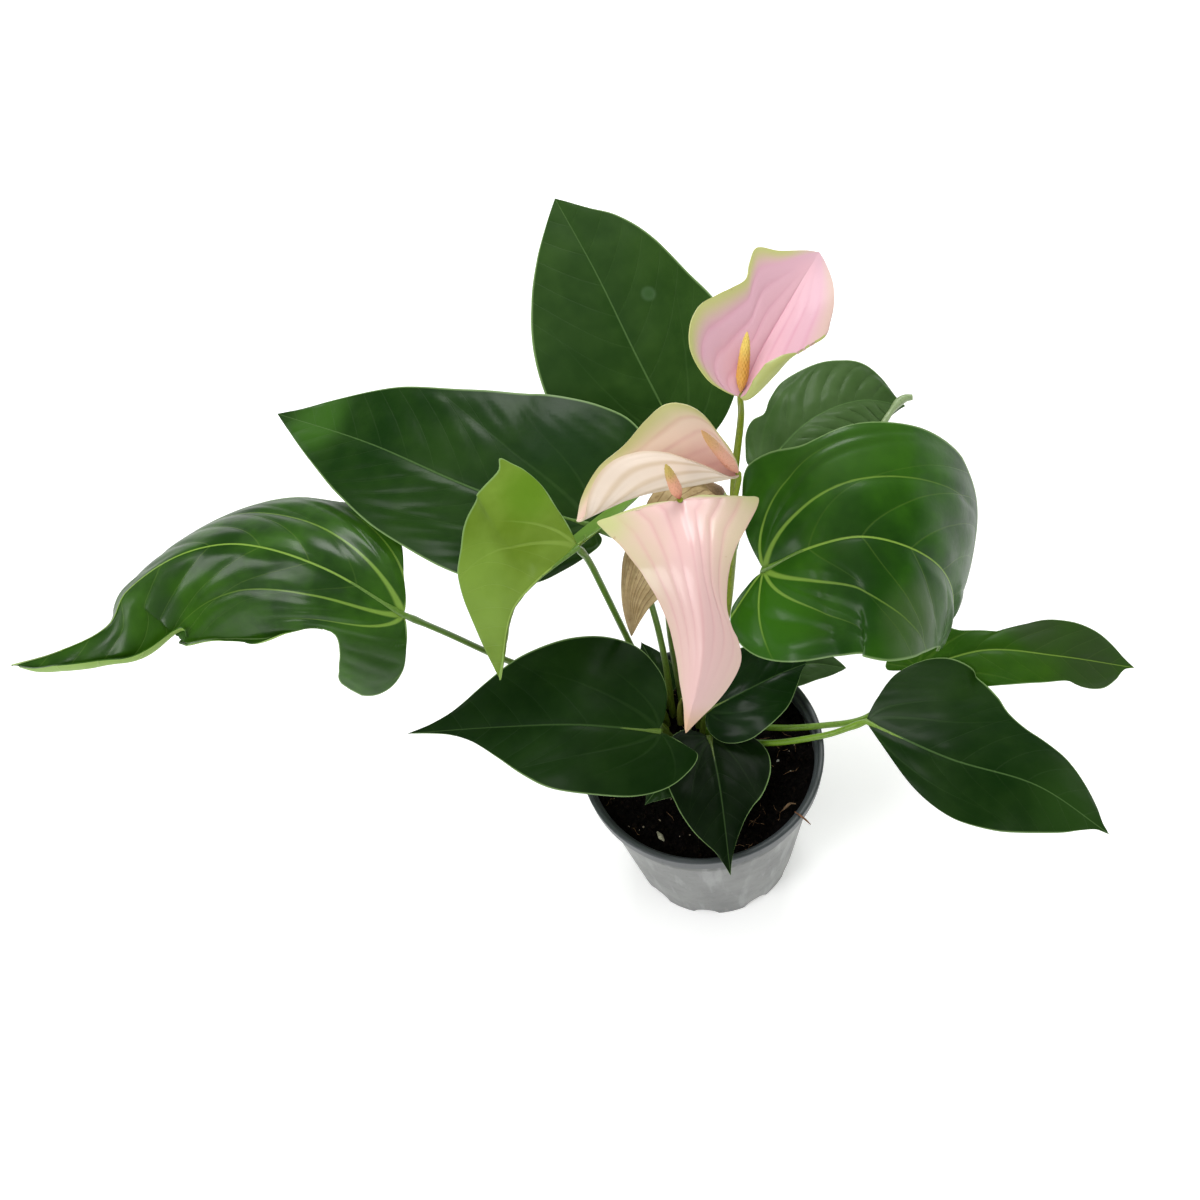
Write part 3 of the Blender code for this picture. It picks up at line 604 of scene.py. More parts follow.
def stem_paint(name, low, high):
    """Fresh stem: the low colour near the soil, the high one under the blades, with fine darker streaks."""
    paint = Paint(name, coat_weight=0.15)
    climb = paint.split(paint.place())[2].smooth(0.1, 0.2)
    streaks = paint.noise(900, 2)
    green = paint.mix(climb, low, high)
    darker = paint.mix(1.0, green, STREAK_TINT)
    paint.tree.nodes[-1].blend_type = "MULTIPLY"
    color = paint.mix(streaks.smooth(0.45, 0.75) * 0.5, green, darker)
    paint.bump(streaks, 0.1 * MM, 0.5)
    return paint.finish(color, 0.42)


LEAF_STEM = stem_paint("leaf_stem", (84, 102, 26), (86, 122, 36))
BLOOM_STEM = stem_paint("bloom_stem", (88, 106, 22), (124, 142, 24))
print("stem finishes:", LEAF_STEM.name, BLOOM_STEM.name)

# %% [markdown]
# On the real leaf a few main veins fan out from where the stem joins the blade: the midrib, and four on
# each side that bend towards the tip or run into the lobe. Fainter side veins leave the midrib at a steady
# spacing. The veins are pressed into the upper side, and the green between them swells up like a quilt.
# Short formulas say how far any point is from a vein. They take plain numbers when the grid is shaped, and
# sockets when the colours are mixed, so relief and colour agree.

# %% Veins
FAN_VEINS = ((0.25, 0.9), (0.0, 0.45), (-0.22, 0.2), (-0.62, 0.3))
FAN_MIDDLE = 0.4
RIB_LEAN = 0.2
RIB_SWEEP = 0.3
RIB_FAN = 0.1
GROOVE = 0.7
MIDRIB_VALLEY = 1.5
FAN_VALLEY = 3.0
DARK_VEIN = (84, 116, 62)
LEAF_RIM = (120, 150, 92)


def lowest(first, second):
    """The smaller of two numbers or two sockets."""
    if isinstance(first, Value):
        return first.math("MINIMUM", first, second)
    return min(first, second)


def fan_distance(along, side, size):
    """Distance in mm to the nearest main vein but the midrib, on a blade of this length and half width."""
    length, half = size
    nearest = None
    for lean, bend in FAN_VEINS:
        slope = length * (lean + 2 * bend * FAN_MIDDLE) / half
        gap = abs(along - side * (side * bend + lean)) * (length / math.hypot(1, slope))
        nearest = gap if nearest is None else lowest(nearest, gap)
    return nearest


def vein_count(along, side, count):
    """How many of a leaf's side veins lie between its base and this point; whole numbers are on a vein."""
    start = along - side * RIB_LEAN - side * side * RIB_SWEEP
    return start / (side * RIB_FAN + 1) * count


def nearness(count):
    """1 on a vein and 0 half way between two."""
    return abs(count % 1 - 0.5) * 2


def smooth(value, low, high):
    """0 below low, 1 above high, and a smooth rise between them."""
    x = min(max((value - low) / (high - low), 0), 1)
    return x * x * (3 - 2 * x)


def blade_size(spec):
    """Length and mean half width of a blade, in mm."""
    length = sum((spec["midrib"](i / 20) - spec["midrib"]((i - 1) / 20)).length for i in range(1, 21))
    return length / MM, sum(spec["width"]) / 2 / MM


def leaf_relief(spec, size, ribs, quilt, seed):
    """Height of a leaf's surface over its smooth blade: ribs side veins, and a quilt so many mm high."""

    def relief(along, across, column, row):
        wide = spec["width"][0 if column < 0 else 1] / MM
        near = nearness(vein_count(along, across, ribs))
        fan = math.exp(-(fan_distance(along, across, size) / FAN_VALLEY) ** 2)
        calm = (1 - smooth(abs(column), 0.82, 1)) * smooth(across, 0.02, 0.16)
        puff = quilt * (1 - max(near ** 3 * 0.8, fan)) * calm
        groove = GROOVE * math.exp(-(across * wide / MIDRIB_VALLEY) ** 2) * (1 - 0.6 * max(along, 0))
        place = Vector((along * 4 + seed, math.copysign(across, column) * 2, seed))
        lump = noise.noise(place * 1.6) * quilt * 1.4 * calm
        return (puff - groove + lump) * MM
    return relief


def vein_masks(paint, ribs, size):
    """Where the midrib, the fan of main veins and the side veins are, each from 0 to 1."""
    along, across, strand = paint.grow()
    side = abs(across)
    thin = 1.1 - along * 0.75
    midrib = (side * size[1] / thin).smooth(0.75, 0.3)
    near = nearness(vein_count(along, side, ribs))
    inner = (along - side * 0.5).smooth(-0.05, 0.2)
    thin_ribs = near.smooth(0.93, 0.995) * inner
    fan = (fan_distance(along, side, size) / (1.05 - side * 0.6)).smooth(0.85, 0.25) * side.smooth(0.85, 0.2)
    return dict(along=along, across=across, edge=abs(strand), midrib=midrib, fan=fan, ribs=thin_ribs)


def leaf_top(name, ribs, size, dark, light, vein=DARK_VEIN, shine=0.08, gloss=0.25,
             shares=(0.6, 0.1, 0.06), ripple=1.0, patches=()):
    """A leaf's upper side: clouded green, patches (some of them painted sheen), paler veins, uneven wax and a
    pale edge.
    """
    paint = Paint(name, coat_weight=shine, coat_roughness=gloss, specular_ior_level=0.1)
    masks = vein_masks(paint, ribs, size)
    cloud = paint.noise(20, 4, roughness=0.6)
    uneven = paint.noise(75, 3)
    fine = paint.noise(520, 3)
    lighter = cloud.smooth(0.34, 0.68) * 0.65 + uneven.smooth(0.35, 0.7) * 0.35
    color = paint.mix(lighter, dark, light)
    # Each patch tints a round spot: some patches are the leaf's own tone, and some are painted sheen.
    for along, across, radius, share, tint in patches:
        away = ((masks["along"] - along) * size[0]) ** 2 + ((masks["across"] - across) * size[1]) ** 2
        color = paint.mix((away + cloud * radius ** 2).smooth(1.4 * radius ** 2, 0.4 * radius ** 2) * share,
                          color, tint)
    for mask, share in zip(("ribs", "fan", "midrib"), reversed(shares)):
        color = paint.mix(masks[mask] * share, color, vein)
    color = paint.mix(masks["edge"].smooth(0.975, 0.995) * 0.85, color, LEAF_RIM)
    sunk = masks["ribs"] * 0.5 + masks["fan"] * 0.7 + masks["midrib"]
    paint.bump(fine * 0.25 + uneven * (2.2 * ripple) - sunk, 0.3 * MM, 0.6)
    return paint.finish(color, uneven * 0.14 + fine * 0.1 + 0.38)


def leaf_under(name, ribs, size, green, vein):
    """A leaf's underside: paler and duller, with raised veins."""
    paint = Paint(name, specular_ior_level=0.2)
    masks = vein_masks(paint, ribs, size)
    color = paint.mix(paint.noise(35, 4) * 0.4, green, vein)
    for mask, share in (("ribs", 0.3), ("fan", 0.6), ("midrib", 0.8)):
        color = paint.mix(masks[mask] * share, color, vein)
    relief = masks["ribs"] + masks["fan"] * 2 + masks["midrib"] * 2 + paint.noise(500) * 0.4
    paint.bump(relief, 0.3 * MM, 0.7)
    return paint.finish(color, 0.55)


print("veins ready")

# %% [markdown]
# These are the outlines and places of every leaf and bloom, chosen against the photograph and
# the same as in the solids. An outline goes from the tip back to the leaf base. Its numbers come in pairs
# in hundredths: how far along the length, and how far across the half width.

# %% Outlines
POINTED_EDGE = outline(92, 10, 82, 28, 65, 58, 46, 84, 26, 100, 8, 95, -5, 72, -10, 42, -6, 14)
TALL_RIGHT = outline(91, 23, 84, 43, 73, 62, 56, 81, 41, 97, 25, 100, 12, 85, 3, 62, -3, 35, -4, 12)
RIGHT_BIG_BACK = outline(93, 12, 86, 26, 78, 48, 70, 88, 57, 102, 44, 102, 31, 93, 20, 78, 12, 82, 6, 81,
                         2, 70, -1, 47, -1, 22)
RIGHT_BIG_NEAR = outline(90, 20, 80, 38, 66, 58, 52, 85, 40, 96, 20, 92, 4, 85, -8, 69, -14, 45, -13, 20,
                         -5, 5)
BACK_LEFT_UPPER = outline(92, 10, 82, 26, 64, 53, 50, 70, 38, 86, 22, 100, 8, 104, -2, 98, -8, 82, -10, 50,
                          -6, 15)
BACK_LEFT_LOWER = outline(92, 16, 84, 32, 75, 49, 64, 69, 52, 84, 40, 91, 28, 97, 20, 97, 11, 86, 4, 62,
                          -2, 33, -4, 12)
FAR_LEFT_NEAR = outline(92, 14, 84, 22, 76, 34, 71, 60, 64, 92, 53, 110, 40, 113, 30, 108, 22, 89, 14, 68,
                        10, 64, 7, 80, 5, 105, 3, 124, -1, 122, -5, 95, -6, 60, -4, 30, -1.5, 8)
FAR_LEFT_BACK = outline(88, 10, 75, 20, 62, 36, 54, 50, 46, 64, 40, 76, 34, 87, 26, 83, 18, 84, 13, 78,
                        9, 60, 5, 35, 1, 12)
RIGHT_FRONT_BACK = outline(96, 6, 92, 18, 85, 34, 76, 49, 68, 56, 61, 63, 55, 78, 51, 100, 44, 122, 33, 134,
                           20, 136, 10, 133, 3, 117, -2, 80, -2, 43, -1, 15)
RIGHT_FRONT_NEAR = outline(95, 5, 90, 20, 83, 45, 73, 68, 62, 84, 52, 91, 43, 90, 34, 78, 25, 60, 14, 34,
                           6.5, 16, 2, 5)
FAR_RIGHT_BACK = outline(95, 12, 87, 38, 79, 56, 68, 67, 56, 67, 46, 53, 37, 35, 30, 38, 22, 45, 16, 61,
                         8, 72, -2, 62, -12, 35, -14, 12, -6, 4)
FAR_RIGHT_NEAR = outline(95, 6, 91, 28, 86, 46, 80, 51, 74, 50, 67, 44, 54, 55, 40, 66, 28, 67, 13, 61,
                         2, 50, -8, 35, -13, 15, -8, 4)
FRONT_LEFT_BACK = outline(90, 8, 80, 22, 68, 51, 57, 75, 46, 88, 34, 97, 20, 100, 10, 94, 3, 77, -2, 50,
                          -2, 20)
FRONT_LEFT_NEAR = outline(90, 2, 80, 7, 70, 19, 59, 43, 47, 72, 37, 89, 24, 96, 10, 96, -2, 82, -10, 58,
                          -14, 30, -10, 18, -5, 8)
FRONT_SMALL_RIGHT = outline(92, 4, 84, 10, 75, 20, 64, 36, 56, 52, 49, 70, 40, 84, 30, 94, 20, 96, 10, 87,
                            2, 70, -3, 45, -3, 20)
FRONT_SMALL_LEFT = outline(91, 12, 84, 24, 78, 40, 70, 59, 60, 76, 50, 88, 35, 99, 17, 103, 4, 97, -6, 80,
                           -11, 50, -8, 27, -4, 12)
MIDDLE_RIGHT_BACK = outline(90, 50, 75, 95, 58, 120, 41, 130, 22, 115, 8, 75, -1, 40)
MIDDLE_RIGHT_NEAR = outline(93, 10, 80, 47, 68, 77, 55, 95, 42, 107, 29, 113, 14, 109, 2, 93, -6, 60,
                            -7, 33, -4, 10)
BACK_RIGHT_UPPER = outline(95, 8, 91, 19, 86, 35, 77, 56, 65, 64, 52, 66, 40, 65, 31, 56, 23, 46, 17, 51,
                           10, 47, 2, 32, -3, 17)
BACK_RIGHT_LOWER = outline(95, 10, 86, 36, 76, 70, 62, 100, 40, 115, 20, 110, 3, 85, -8, 50, -5, 15)
YOUNG_LEFT = outline(86, 17, 71, 36, 60, 57, 50, 80, 42, 102, 30, 110, 18, 112, 7, 115, 3, 125, 0, 112,
                     -3, 97, -5, 73, -4, 48, -3, 25)
YOUNG_RIGHT = outline(85, 30, 60, 70, 35, 95, 10, 100, -13, 110, -30, 100, -42, 60, -40, 30, -25, 12, -8, 3)
BLOOM_DRIED_LEFT = outline(93, 10, 80, 22, 70, 35, 60, 50, 50, 57, 38, 69, 30, 89, 24, 97, 18, 84, 10, 62,
                           4, 40, 0, 18)
BLOOM_DRIED_RIGHT = outline(94, 19, 88, 42, 80, 75, 70, 100, 55, 115, 35, 110, 15, 95, 2, 70, -5, 35,
                            -2, 10)
BLOOM_RIGHT_LEFT = outline(96, 15, 85, 43, 77, 68, 67, 65, 58, 59, 50, 67, 40, 81, 30, 93, 20, 93, 8, 80,
                           -1, 50, -2, 20)
BLOOM_RIGHT_RIGHT = outline(96, 16, 86, 43, 74, 65, 57, 88, 44, 105, 36, 90, 27, 70, 14, 60, 2, 40, -2, 20)
BLOOM_LEFT_BACK = outline(90, 22, 73, 44, 58, 56, 44, 79, 34, 92, 26, 92, 17, 77, 8, 47, 2, 25)
BLOOM_LEFT_NEAR = outline(88, 35, 74, 77, 60, 100, 43, 101, 30, 89, 20, 65, 12.5, 42, 5.5, 20)
BLOOM_FRONT_LEFT = outline(90, 10, 80, 23, 68, 32, 55, 38, 43, 46, 33, 55, 20, 65, 10, 74, 3, 85, -2, 92,
                           -2.5, 75, -3, 50, -2.5, 25)
BLOOM_FRONT_RIGHT = outline(93, 17, 87, 31, 79, 44, 70, 52, 63, 46, 57, 36, 50, 31, 41, 34, 33, 40, 24, 50,
                            14, 68, 5, 85, 1, 89, 0, 73, -1, 45, -2, 20)
print("outlines ready")

# %% [markdown]
# A leaf has a root in the crown, the points of its stem, a midrib, the direction its upper side faces,
# the widths of its two halves, and how they fold, curl and wave. Small leaves all bend alike. A bloom also
# has the tip of its spadix.

# %% Places
SMALL_CURL = (-10, -10)
SMALL = dict(curl=SMALL_CURL, wave=(1, 2, 1))
LEAVES = {
    "leaf_back_tall": dict(
        root=(2, 90), stem=[(0, 62, 140), (16, 104, 180)],
        midrib=[(23, 115, 201), (11, 145, 233), (1, 180, 258), (-10, 217, 277)],
        face=(0.05, -0.5, 0.85), width=(48, 51), edges=(LEAF_EDGE, TALL_RIGHT), fold=(4, 4),
        curl=(-12, -25), wave=(3, 1.3, 0)),
    "leaf_back_left": dict(
        root=(2, 120), stem=[(-8, 32, 150), (-10, 41, 188), (-15, 54, 210)],
        midrib=[(-29, 63, 218), (-72, 81, 235), (-119, 120, 241), (-166, 167, 228)],
        face=(-0.1, -0.3, 1), width=(40, 56), edges=(BACK_LEFT_LOWER, BACK_LEFT_UPPER), fold=(3, 3),
        curl=(-18, -14), wave=(3, 1.5, 1)),
    "leaf_far_left": dict(
        root=(2, 180), stem=[(-40, 36, 118), (-80, 48, 145), (-106, 50, 180)],
        midrib=[(-120, 47, 205), (-150, 68, 225), (-184, 86, 232), (-213, 89, 231), (-240, 79, 226),
                (-251, 68, 219), (-278, 68, 209), (-306, 73, 200)],
        face=(0, -0.3, 1), width=(40, 50), edges=(FAR_LEFT_NEAR, FAR_LEFT_BACK),
        fold=(-20, 5), fold_tip=(-15, -90), curl=(-30, -20), wave=(3, 2, 1)),
    "leaf_young": dict(
        root=(2, 150), stem=[(-22, 41, 145), (-30, 31, 215), (-33, 23, 245)],
        midrib=[(-36, 13, 268), (-55, 6, 262), (-69, 5, 245), (-81, -2, 210)],
        face=(-0.2, -0.4, 0.9), width=(34, 42), edges=(YOUNG_RIGHT, YOUNG_LEFT),
        fold=(-110, 0), curl=(-10, -10), wave=(1, 1.5, 1)),
    "leaf_right_big": dict(
        root=(3, 40), stem=[(28, 36, 150), (38, 16, 210)],
        midrib=[(36, 2, 240), (54, -1, 252), (74, -4, 256), (93, -9, 248), (107, -12, 231), (114, -12, 203),
                (110, -12, 168)],
        face=(0, -0.3, 1), face_tip=(0.9, -0.55, 0.4), width=(54, 50),
        edges=(RIGHT_BIG_BACK, RIGHT_BIG_NEAR),
        fold=(3, 3), curl=(-12, -15), wave=(2, 1.5, 1)),
    "leaf_back_right": dict(
        root=(3, 80), stem=[(30, 70, 135), (48, 92, 165)],
        midrib=[(60, 103, 181), (88, 118, 191), (117, 128, 186), (141, 128, 174)],
        face=(0, -0.3, 1), width=(40, 30), edges=(BACK_RIGHT_UPPER, BACK_RIGHT_LOWER), curl=(-15, -15),
        wave=(3, 2, 1)),
    "leaf_far_right": dict(
        root=(2, 0), stem=[(35, 3, 106), (58, -5, 111), (82, -8, 115)],
        midrib=[(113, 10, 118), (144, 7, 126), (174, -3, 124), (214, -11, 108)],
        face=(0.1, -0.3, 1), face_tip=(0.1, -0.5, 0.8), width=(26, 26),
        edges=(FAR_RIGHT_BACK, FAR_RIGHT_NEAR), curl=(-15, -15), wave=(4, 1.5, 2)),
    "leaf_right_front": dict(
        root=(2, 330), stem=[(27, -7, 112), (56, -19, 127)],
        midrib=[(76, -21, 135), (105, -50, 138), (141, -67, 126), (169, -89, 106)],
        face=(0.1, -0.1, 1), width=(44, 29), edges=(RIGHT_FRONT_BACK, RIGHT_FRONT_NEAR),
        fold=(-5, -15), curl=(-15, -20), wave=(2, 2, 1), step=0.15),
    "leaf_front_left": dict(
        root=(2, 210), stem=[(-17, 4, 128)],
        midrib=[(-19, -10, 150), (-54, -3, 160), (-91, 10, 152), (-138, 29, 134)],
        face=(0, -0.2, 1), width=(33, 46), edges=(FRONT_LEFT_NEAR, FRONT_LEFT_BACK), **SMALL),
    "leaf_front_small": dict(
        root=(2, 270), stem=[(1, 3, 111)],
        midrib=[(5, -3, 119), (3, -32, 122), (-2, -71, 114)],
        face=(0, -0.2, 1), width=(27, 24), edges=(FRONT_SMALL_RIGHT, FRONT_SMALL_LEFT), **SMALL),
    "leaf_middle_right": dict(
        root=(2, 300), stem=[(4, 9, 114)],
        midrib=[(7, 8, 128), (25, 7, 139), (42, 10, 142), (58, 15, 138)],
        face=(0, -0.3, 1), width=(16, 19), edges=(MIDDLE_RIGHT_BACK, MIDDLE_RIGHT_NEAR), **SMALL),
    "leaf_low_back": dict(
        root=(3, 115), stem=[(-11, 35, 103)],
        midrib=[(-12, 38, 106), (-13, 51, 110), (-16, 67, 109)],
        face=(0, -0.2, 1), width=(10, 10), edges=(POINTED_EDGE, POINTED_EDGE), curl=SMALL_CURL),
    "leaf_low_right": dict(
        root=(3, 15), stem=[(26, 25, 106), (37, 28, 109)],
        midrib=[(46, 29, 112), (63, 26, 118), (80, 22, 113)],
        face=(0, -0.2, 1), width=(10, 10), curl=SMALL_CURL),
    "leaf_low_left": dict(
        root=(2, 240), stem=[(-10, 0, 106)],
        midrib=[(-11, -10, 111), (-22, -18, 115), (-33, -25, 110)],
        face=(0, -0.2, 1), width=(12, 10), edges=(POINTED_EDGE, POINTED_EDGE), curl=SMALL_CURL),
}

BLOOMS = {
    "bloom_right": dict(
        root=(3, 60), stem=[(20, 30, 150), (29, 31, 215), (32, 33, 260), (35, 26, 305)],
        midrib=[(32, 10, 335), (42, 22, 341), (58, 38, 348), (73, 54, 352)],
        face=(0, -0.5, 1), width=(30, 22), edges=(BLOOM_RIGHT_LEFT, BLOOM_RIGHT_RIGHT),
        fold=(25, 50), fold_tip=(10, 0), curl=(10, 20), wave=(1, 2, 1), spadix=(38, 21, 354)),
    "bloom_left": dict(
        root=(1, 60), stem=[(8, 24, 150), (22, 17, 220), (27, 13, 270)],
        midrib=[(29, 5, 299), (12, 5, 300), (-10, 10, 295), (-34, 13, 284)],
        face=(0, -0.58, 0.81), width=(26, 34), edges=(BLOOM_LEFT_NEAR, BLOOM_LEFT_BACK),
        fold=(70, 10), curl=(110, 25), spadix=(16, 3, 330)),
    "bloom_front": dict(
        root=(1, 0), stem=[(1, 20, 150), (1, 16, 210), (3, 4, 275)],
        midrib=[(4, -11, 311), (3, -37, 310), (-1, -61, 290), (-13, -79, 268)],
        face=(0, -0.5, 0.85), width=(32, 34), edges=(BLOOM_FRONT_RIGHT, BLOOM_FRONT_LEFT),
        fold=(-5, -5), fold_tip=(-40, -40), curl=(-12, -12), spadix=(1, -5, 326)),
    "bloom_dried": dict(
        root=(2, 60), stem=[(8, 34, 150), (25, 45, 212)],
        midrib=[(30, 44, 241), (14, 40, 242), (-1, 34, 237), (-12, 28, 225), (-19, 24, 209),
                (-22, 16, 193)],
        face=(0, -0.6, 0.8), width=(18, 18), edges=(BLOOM_DRIED_RIGHT, BLOOM_DRIED_LEFT),
        fold=(-15, -20), curl=(-20, -20), wave=(1, 2, 0), spadix=(22, 42, 254)),
}
print("leaves:", len(LEAVES), "blooms:", len(BLOOMS))

# %% [markdown]
# The plant has three kinds of green: old leaves are deep green, the glossy ones are fresh, and the
# youngest is light yellow-green and still partly folded. Each leaf gets finishes of its own, because its
# veins have their own spacing, and a stem that runs from the soil to the blade. A patch gives its place
# along and across the blade, its radius in mm, its share and its colour. The longest leaf has a rolled edge.

# %% Leaves
FRESH_VEIN = (126, 160, 62)
# How strongly the midrib, the main veins and the side veins show.
BRIGHT = (0.9, 0.7, 0.12)
DULL = (0.28, 0.06, 0.04)
PALE_STEM = stem_paint("pale_stem", (100, 138, 20), (138, 172, 48))
LOW = dict(dark=(14, 40, 5), light=(28, 56, 12), ribs=5, grid=(50, 10))
LEAF_LOOKS = {
    "leaf_back_tall": dict(
        dark=(30, 60, 13), light=(46, 76, 24), ribs=8, seed=1.3, quilt=0.3, grid=(130, 24),
        patches=((0.53, 0.36, 4.6, 0.55, (84, 112, 78)), (0.53, 0.36, 3.4, 0.8, (46, 78, 32)))),
    "leaf_back_left": dict(
        dark=(14, 46, 3), light=(32, 63, 11), ribs=12, seed=2.1, quilt=0.7, grid=(150, 26),
        shine=0.2, gloss=0.28, ripple=1.8,
        patches=((0.84, 0, 26, 0.8, (56, 98, 26)), (0.12, 0.6, 24, 0.6, (20, 50, 16)))),
    "leaf_far_left": dict(
        dark=(22, 56, 2), light=(52, 96, 8), vein=FRESH_VEIN, ribs=9, seed=3.7, quilt=0.8,
        grid=(150, 26), shine=0.45, shares=BRIGHT, under=((124, 158, 66), (160, 184, 116)),
        patches=((0, -0.64, 24, 0.9, (30, 58, 14)), (0.62, -0.45, 16, 0.8, (40, 66, 30)),
                 (0.6, 0.75, 20, 0.5, (64, 108, 20)))),
    "leaf_young": dict(
        dark=(84, 110, 18), light=(110, 138, 48), vein=(146, 172, 82), grid=(110, 20),
        ribs=8, seed=4.2, quilt=0.3, shares=(0.7, 0.25, 0.1), under=((96, 140, 44), (138, 168, 84)),
        # Painted sheen: the pale second patch stands in for the whitish reflection on the glossy young blade.
        patches=((0.02, 0.75, 16, 0.9, (84, 120, 14)), (0.6, 0.4, 26, 0.5, (124, 156, 62)))),
    "leaf_right_big": dict(
        dark=(20, 60, 0), light=(46, 93, 4), vein=FRESH_VEIN, ribs=7, seed=5.5, quilt=0.9,
        grid=(140, 28), shine=0.32, shares=BRIGHT,
        # Painted sheen: the last patch, grey-green on the near half towards the tip, stands in for a grazing
        # reflection.
        patches=((0.28, 0.15, 26, 0.85, (16, 52, 0)), (0, 0.45, 26, 0.8, (46, 98, 0)),
                 (0.28, -0.75, 26, 0.5, (58, 100, 26)), (0.5, 0.6, 26, 0.75, (64, 90, 44)))),
    "leaf_back_right": dict(
        dark=(50, 78, 32), light=(70, 96, 52), ribs=9, seed=6.1, quilt=1.3, grid=(120, 22)),
    "leaf_far_right": dict(
        dark=(34, 74, 0), light=(50, 90, 4), vein=FRESH_VEIN, ribs=8, seed=7.4, quilt=0.5,
        grid=(110, 18), stem=PALE_STEM,
        # Painted sheen: both grey-green patches stand in for the grey gloss of the blade seen at a grazing
        # angle.
        patches=((0.8, -0.1, 42, 1.0, (46, 68, 30)), (0.52, -0.5, 18, 1.0, (46, 68, 30)))),
    "leaf_right_front": dict(
        dark=(12, 42, 2), light=(28, 56, 9), ribs=8, seed=8.8, quilt=0.4, grid=(120, 22),
        stem=PALE_STEM, patches=((0.85, 0.1, 30, 0.6, (38, 70, 18)),)),
    "leaf_front_left": dict(
        dark=(8, 36, 1), light=(23, 50, 8), ribs=8, seed=9.2, quilt=0.35, grid=(120, 22),
        shine=0.03, shares=DULL),
    "leaf_front_small": dict(
        dark=(2, 19, 0), light=(10, 31, 2), ribs=7, seed=10.5, quilt=0.35, grid=(100, 18),
        shine=0.02, shares=DULL),
    "leaf_middle_right": dict(
        dark=(1, 25, 0), light=(9, 42, 0), ribs=6, seed=11.1, quilt=0.3, grid=(70, 14),
        shine=0.15, shares=DULL),
    "leaf_low_back": dict(LOW, seed=12.3, quilt=0.2),
    "leaf_low_right": dict(LOW, dark=(50, 74, 36), light=(66, 92, 50), seed=13.9, quilt=0.3),
    "leaf_low_left": dict(LOW, seed=14.6, quilt=0.2),
}
BLADE = 0.7 * MM
RIDGE_DEPTH = 0.9 * MM
RIDGE = ((0.05, 0.95), (0.12, 0.75), (0.22, 0.55), (0.34, 0.35), (0.46, 0.12))
UNDERSIDE = ((88, 120, 58), (134, 160, 96))
ROLLED = {
    "leaf_far_left": (0, (0.015, 0.5), ((0.2, 0.4), (0.27, 4), (0.33, 5), (0.4, 2.5), (0.5, 2), (0.6, 3),
                                        (0.7, 7), (0.78, 15), (0.85, 13), (0.92, 7), (0.98, 1)), 60, 85),
}


def grow_leaf(name, values):
    """One leaf: its blade, and its stem with a ridge under the midrib."""
    values = dict(values)
    root = root_place(*values.pop("root"))
    stem = values.pop("stem")
    spec = blade_spec(**values)
    size = blade_size(spec)
    look = dict(LEAF_LOOKS[name])
    ribs, quilt, seed, grid = (look.pop(key) for key in ("ribs", "quilt", "seed", "grid"))
    below = look.pop("under", UNDERSIDE)
    bark = look.pop("stem", LEAF_STEM)
    top = leaf_top(name + "_top", ribs, size, **look)
    under = leaf_under(name + "_under", ribs, size, *below)
    relief = leaf_relief(spec, size, ribs, quilt, seed)
    blade = grow_blade(name + "_blade", spec, *grid, relief, BLADE, top, under)
    base = spec["midrib"](0)
    ridge = []
    for share, radius in RIDGE:
        face = spec["face"].lerp(spec["face_tip"], share).normalized()
        ridge.append((spec["midrib"](share) - face * RIDGE_DEPTH, radius))
    route = stem_points(root, stem + [tuple(base / MM)])
    stalk = tube(name + "_stalk", route, LEAF_STEM_RADII, bark, KNEE_SWELL, ridge)
    pieces = [blade, stalk]
    if name in ROLLED:
        pieces.append(roll_edge(name + "_roll", spec, *ROLLED[name], BLADE, top, under))
    for piece in pieces:
        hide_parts(name)
    return blade


for leaf_name, leaf_values in LEAVES.items():
    grown = grow_leaf(leaf_name, leaf_values)
    print(leaf_name, "triangles:", len(grown.data.polygons) * 2)

# %% [markdown]
# The tip of the leaf at the back right is rolled into a thin pale tube that ends in a small knob.

# %% Rolled tip
TIP_PAINT = stem_paint("rolled_tip", (120, 144, 92), (142, 162, 116))
TIP_RADII = (0.5, 1.3, 1.6, 1.5, 2.3, 1.5)
TIP_POINTS = [(118, 110, 176), (125, 116, 178), (131, 121.5, 179.5), (136, 125.5, 180.5), (140, 127, 181),
              (143.6, 126.6, 181)]
rolled_tip = tube("leaf_back_right_tip", TIP_POINTS, TIP_RADII, TIP_PAINT)
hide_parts("leaf_back_right")
print("rolled tip ready")

# %% [markdown]
# A bloom is a leaf that turned pink, the spathe, with a spike of tiny flowers, the spadix. The spathe's
# veins run side by side from its base to its tip, so they follow the strands of the grid: stripes across
# the strand value, sunk a little. Its edges and its two ears at the base stay green for a long time.

# %% Spathe finishes
FRECKLE = (150, 115, 80)


def spathe_relief(strands, depth, crumple=0.0, seed=0.0):
    """Sunken veins that run from base to tip, and crumples in a dried one."""
    def relief(along, across, column, row):
        near = nearness(column * strands)
        calm = (1 - smooth(abs(column), 0.85, 1)) * (1 - smooth(along, 0.5, 0.9))
        folds = noise.noise(Vector((along * 5 + seed, column * 3, seed))) * crumple
        return (-depth * near ** 4 * calm + folds * calm) * MM
    return relief


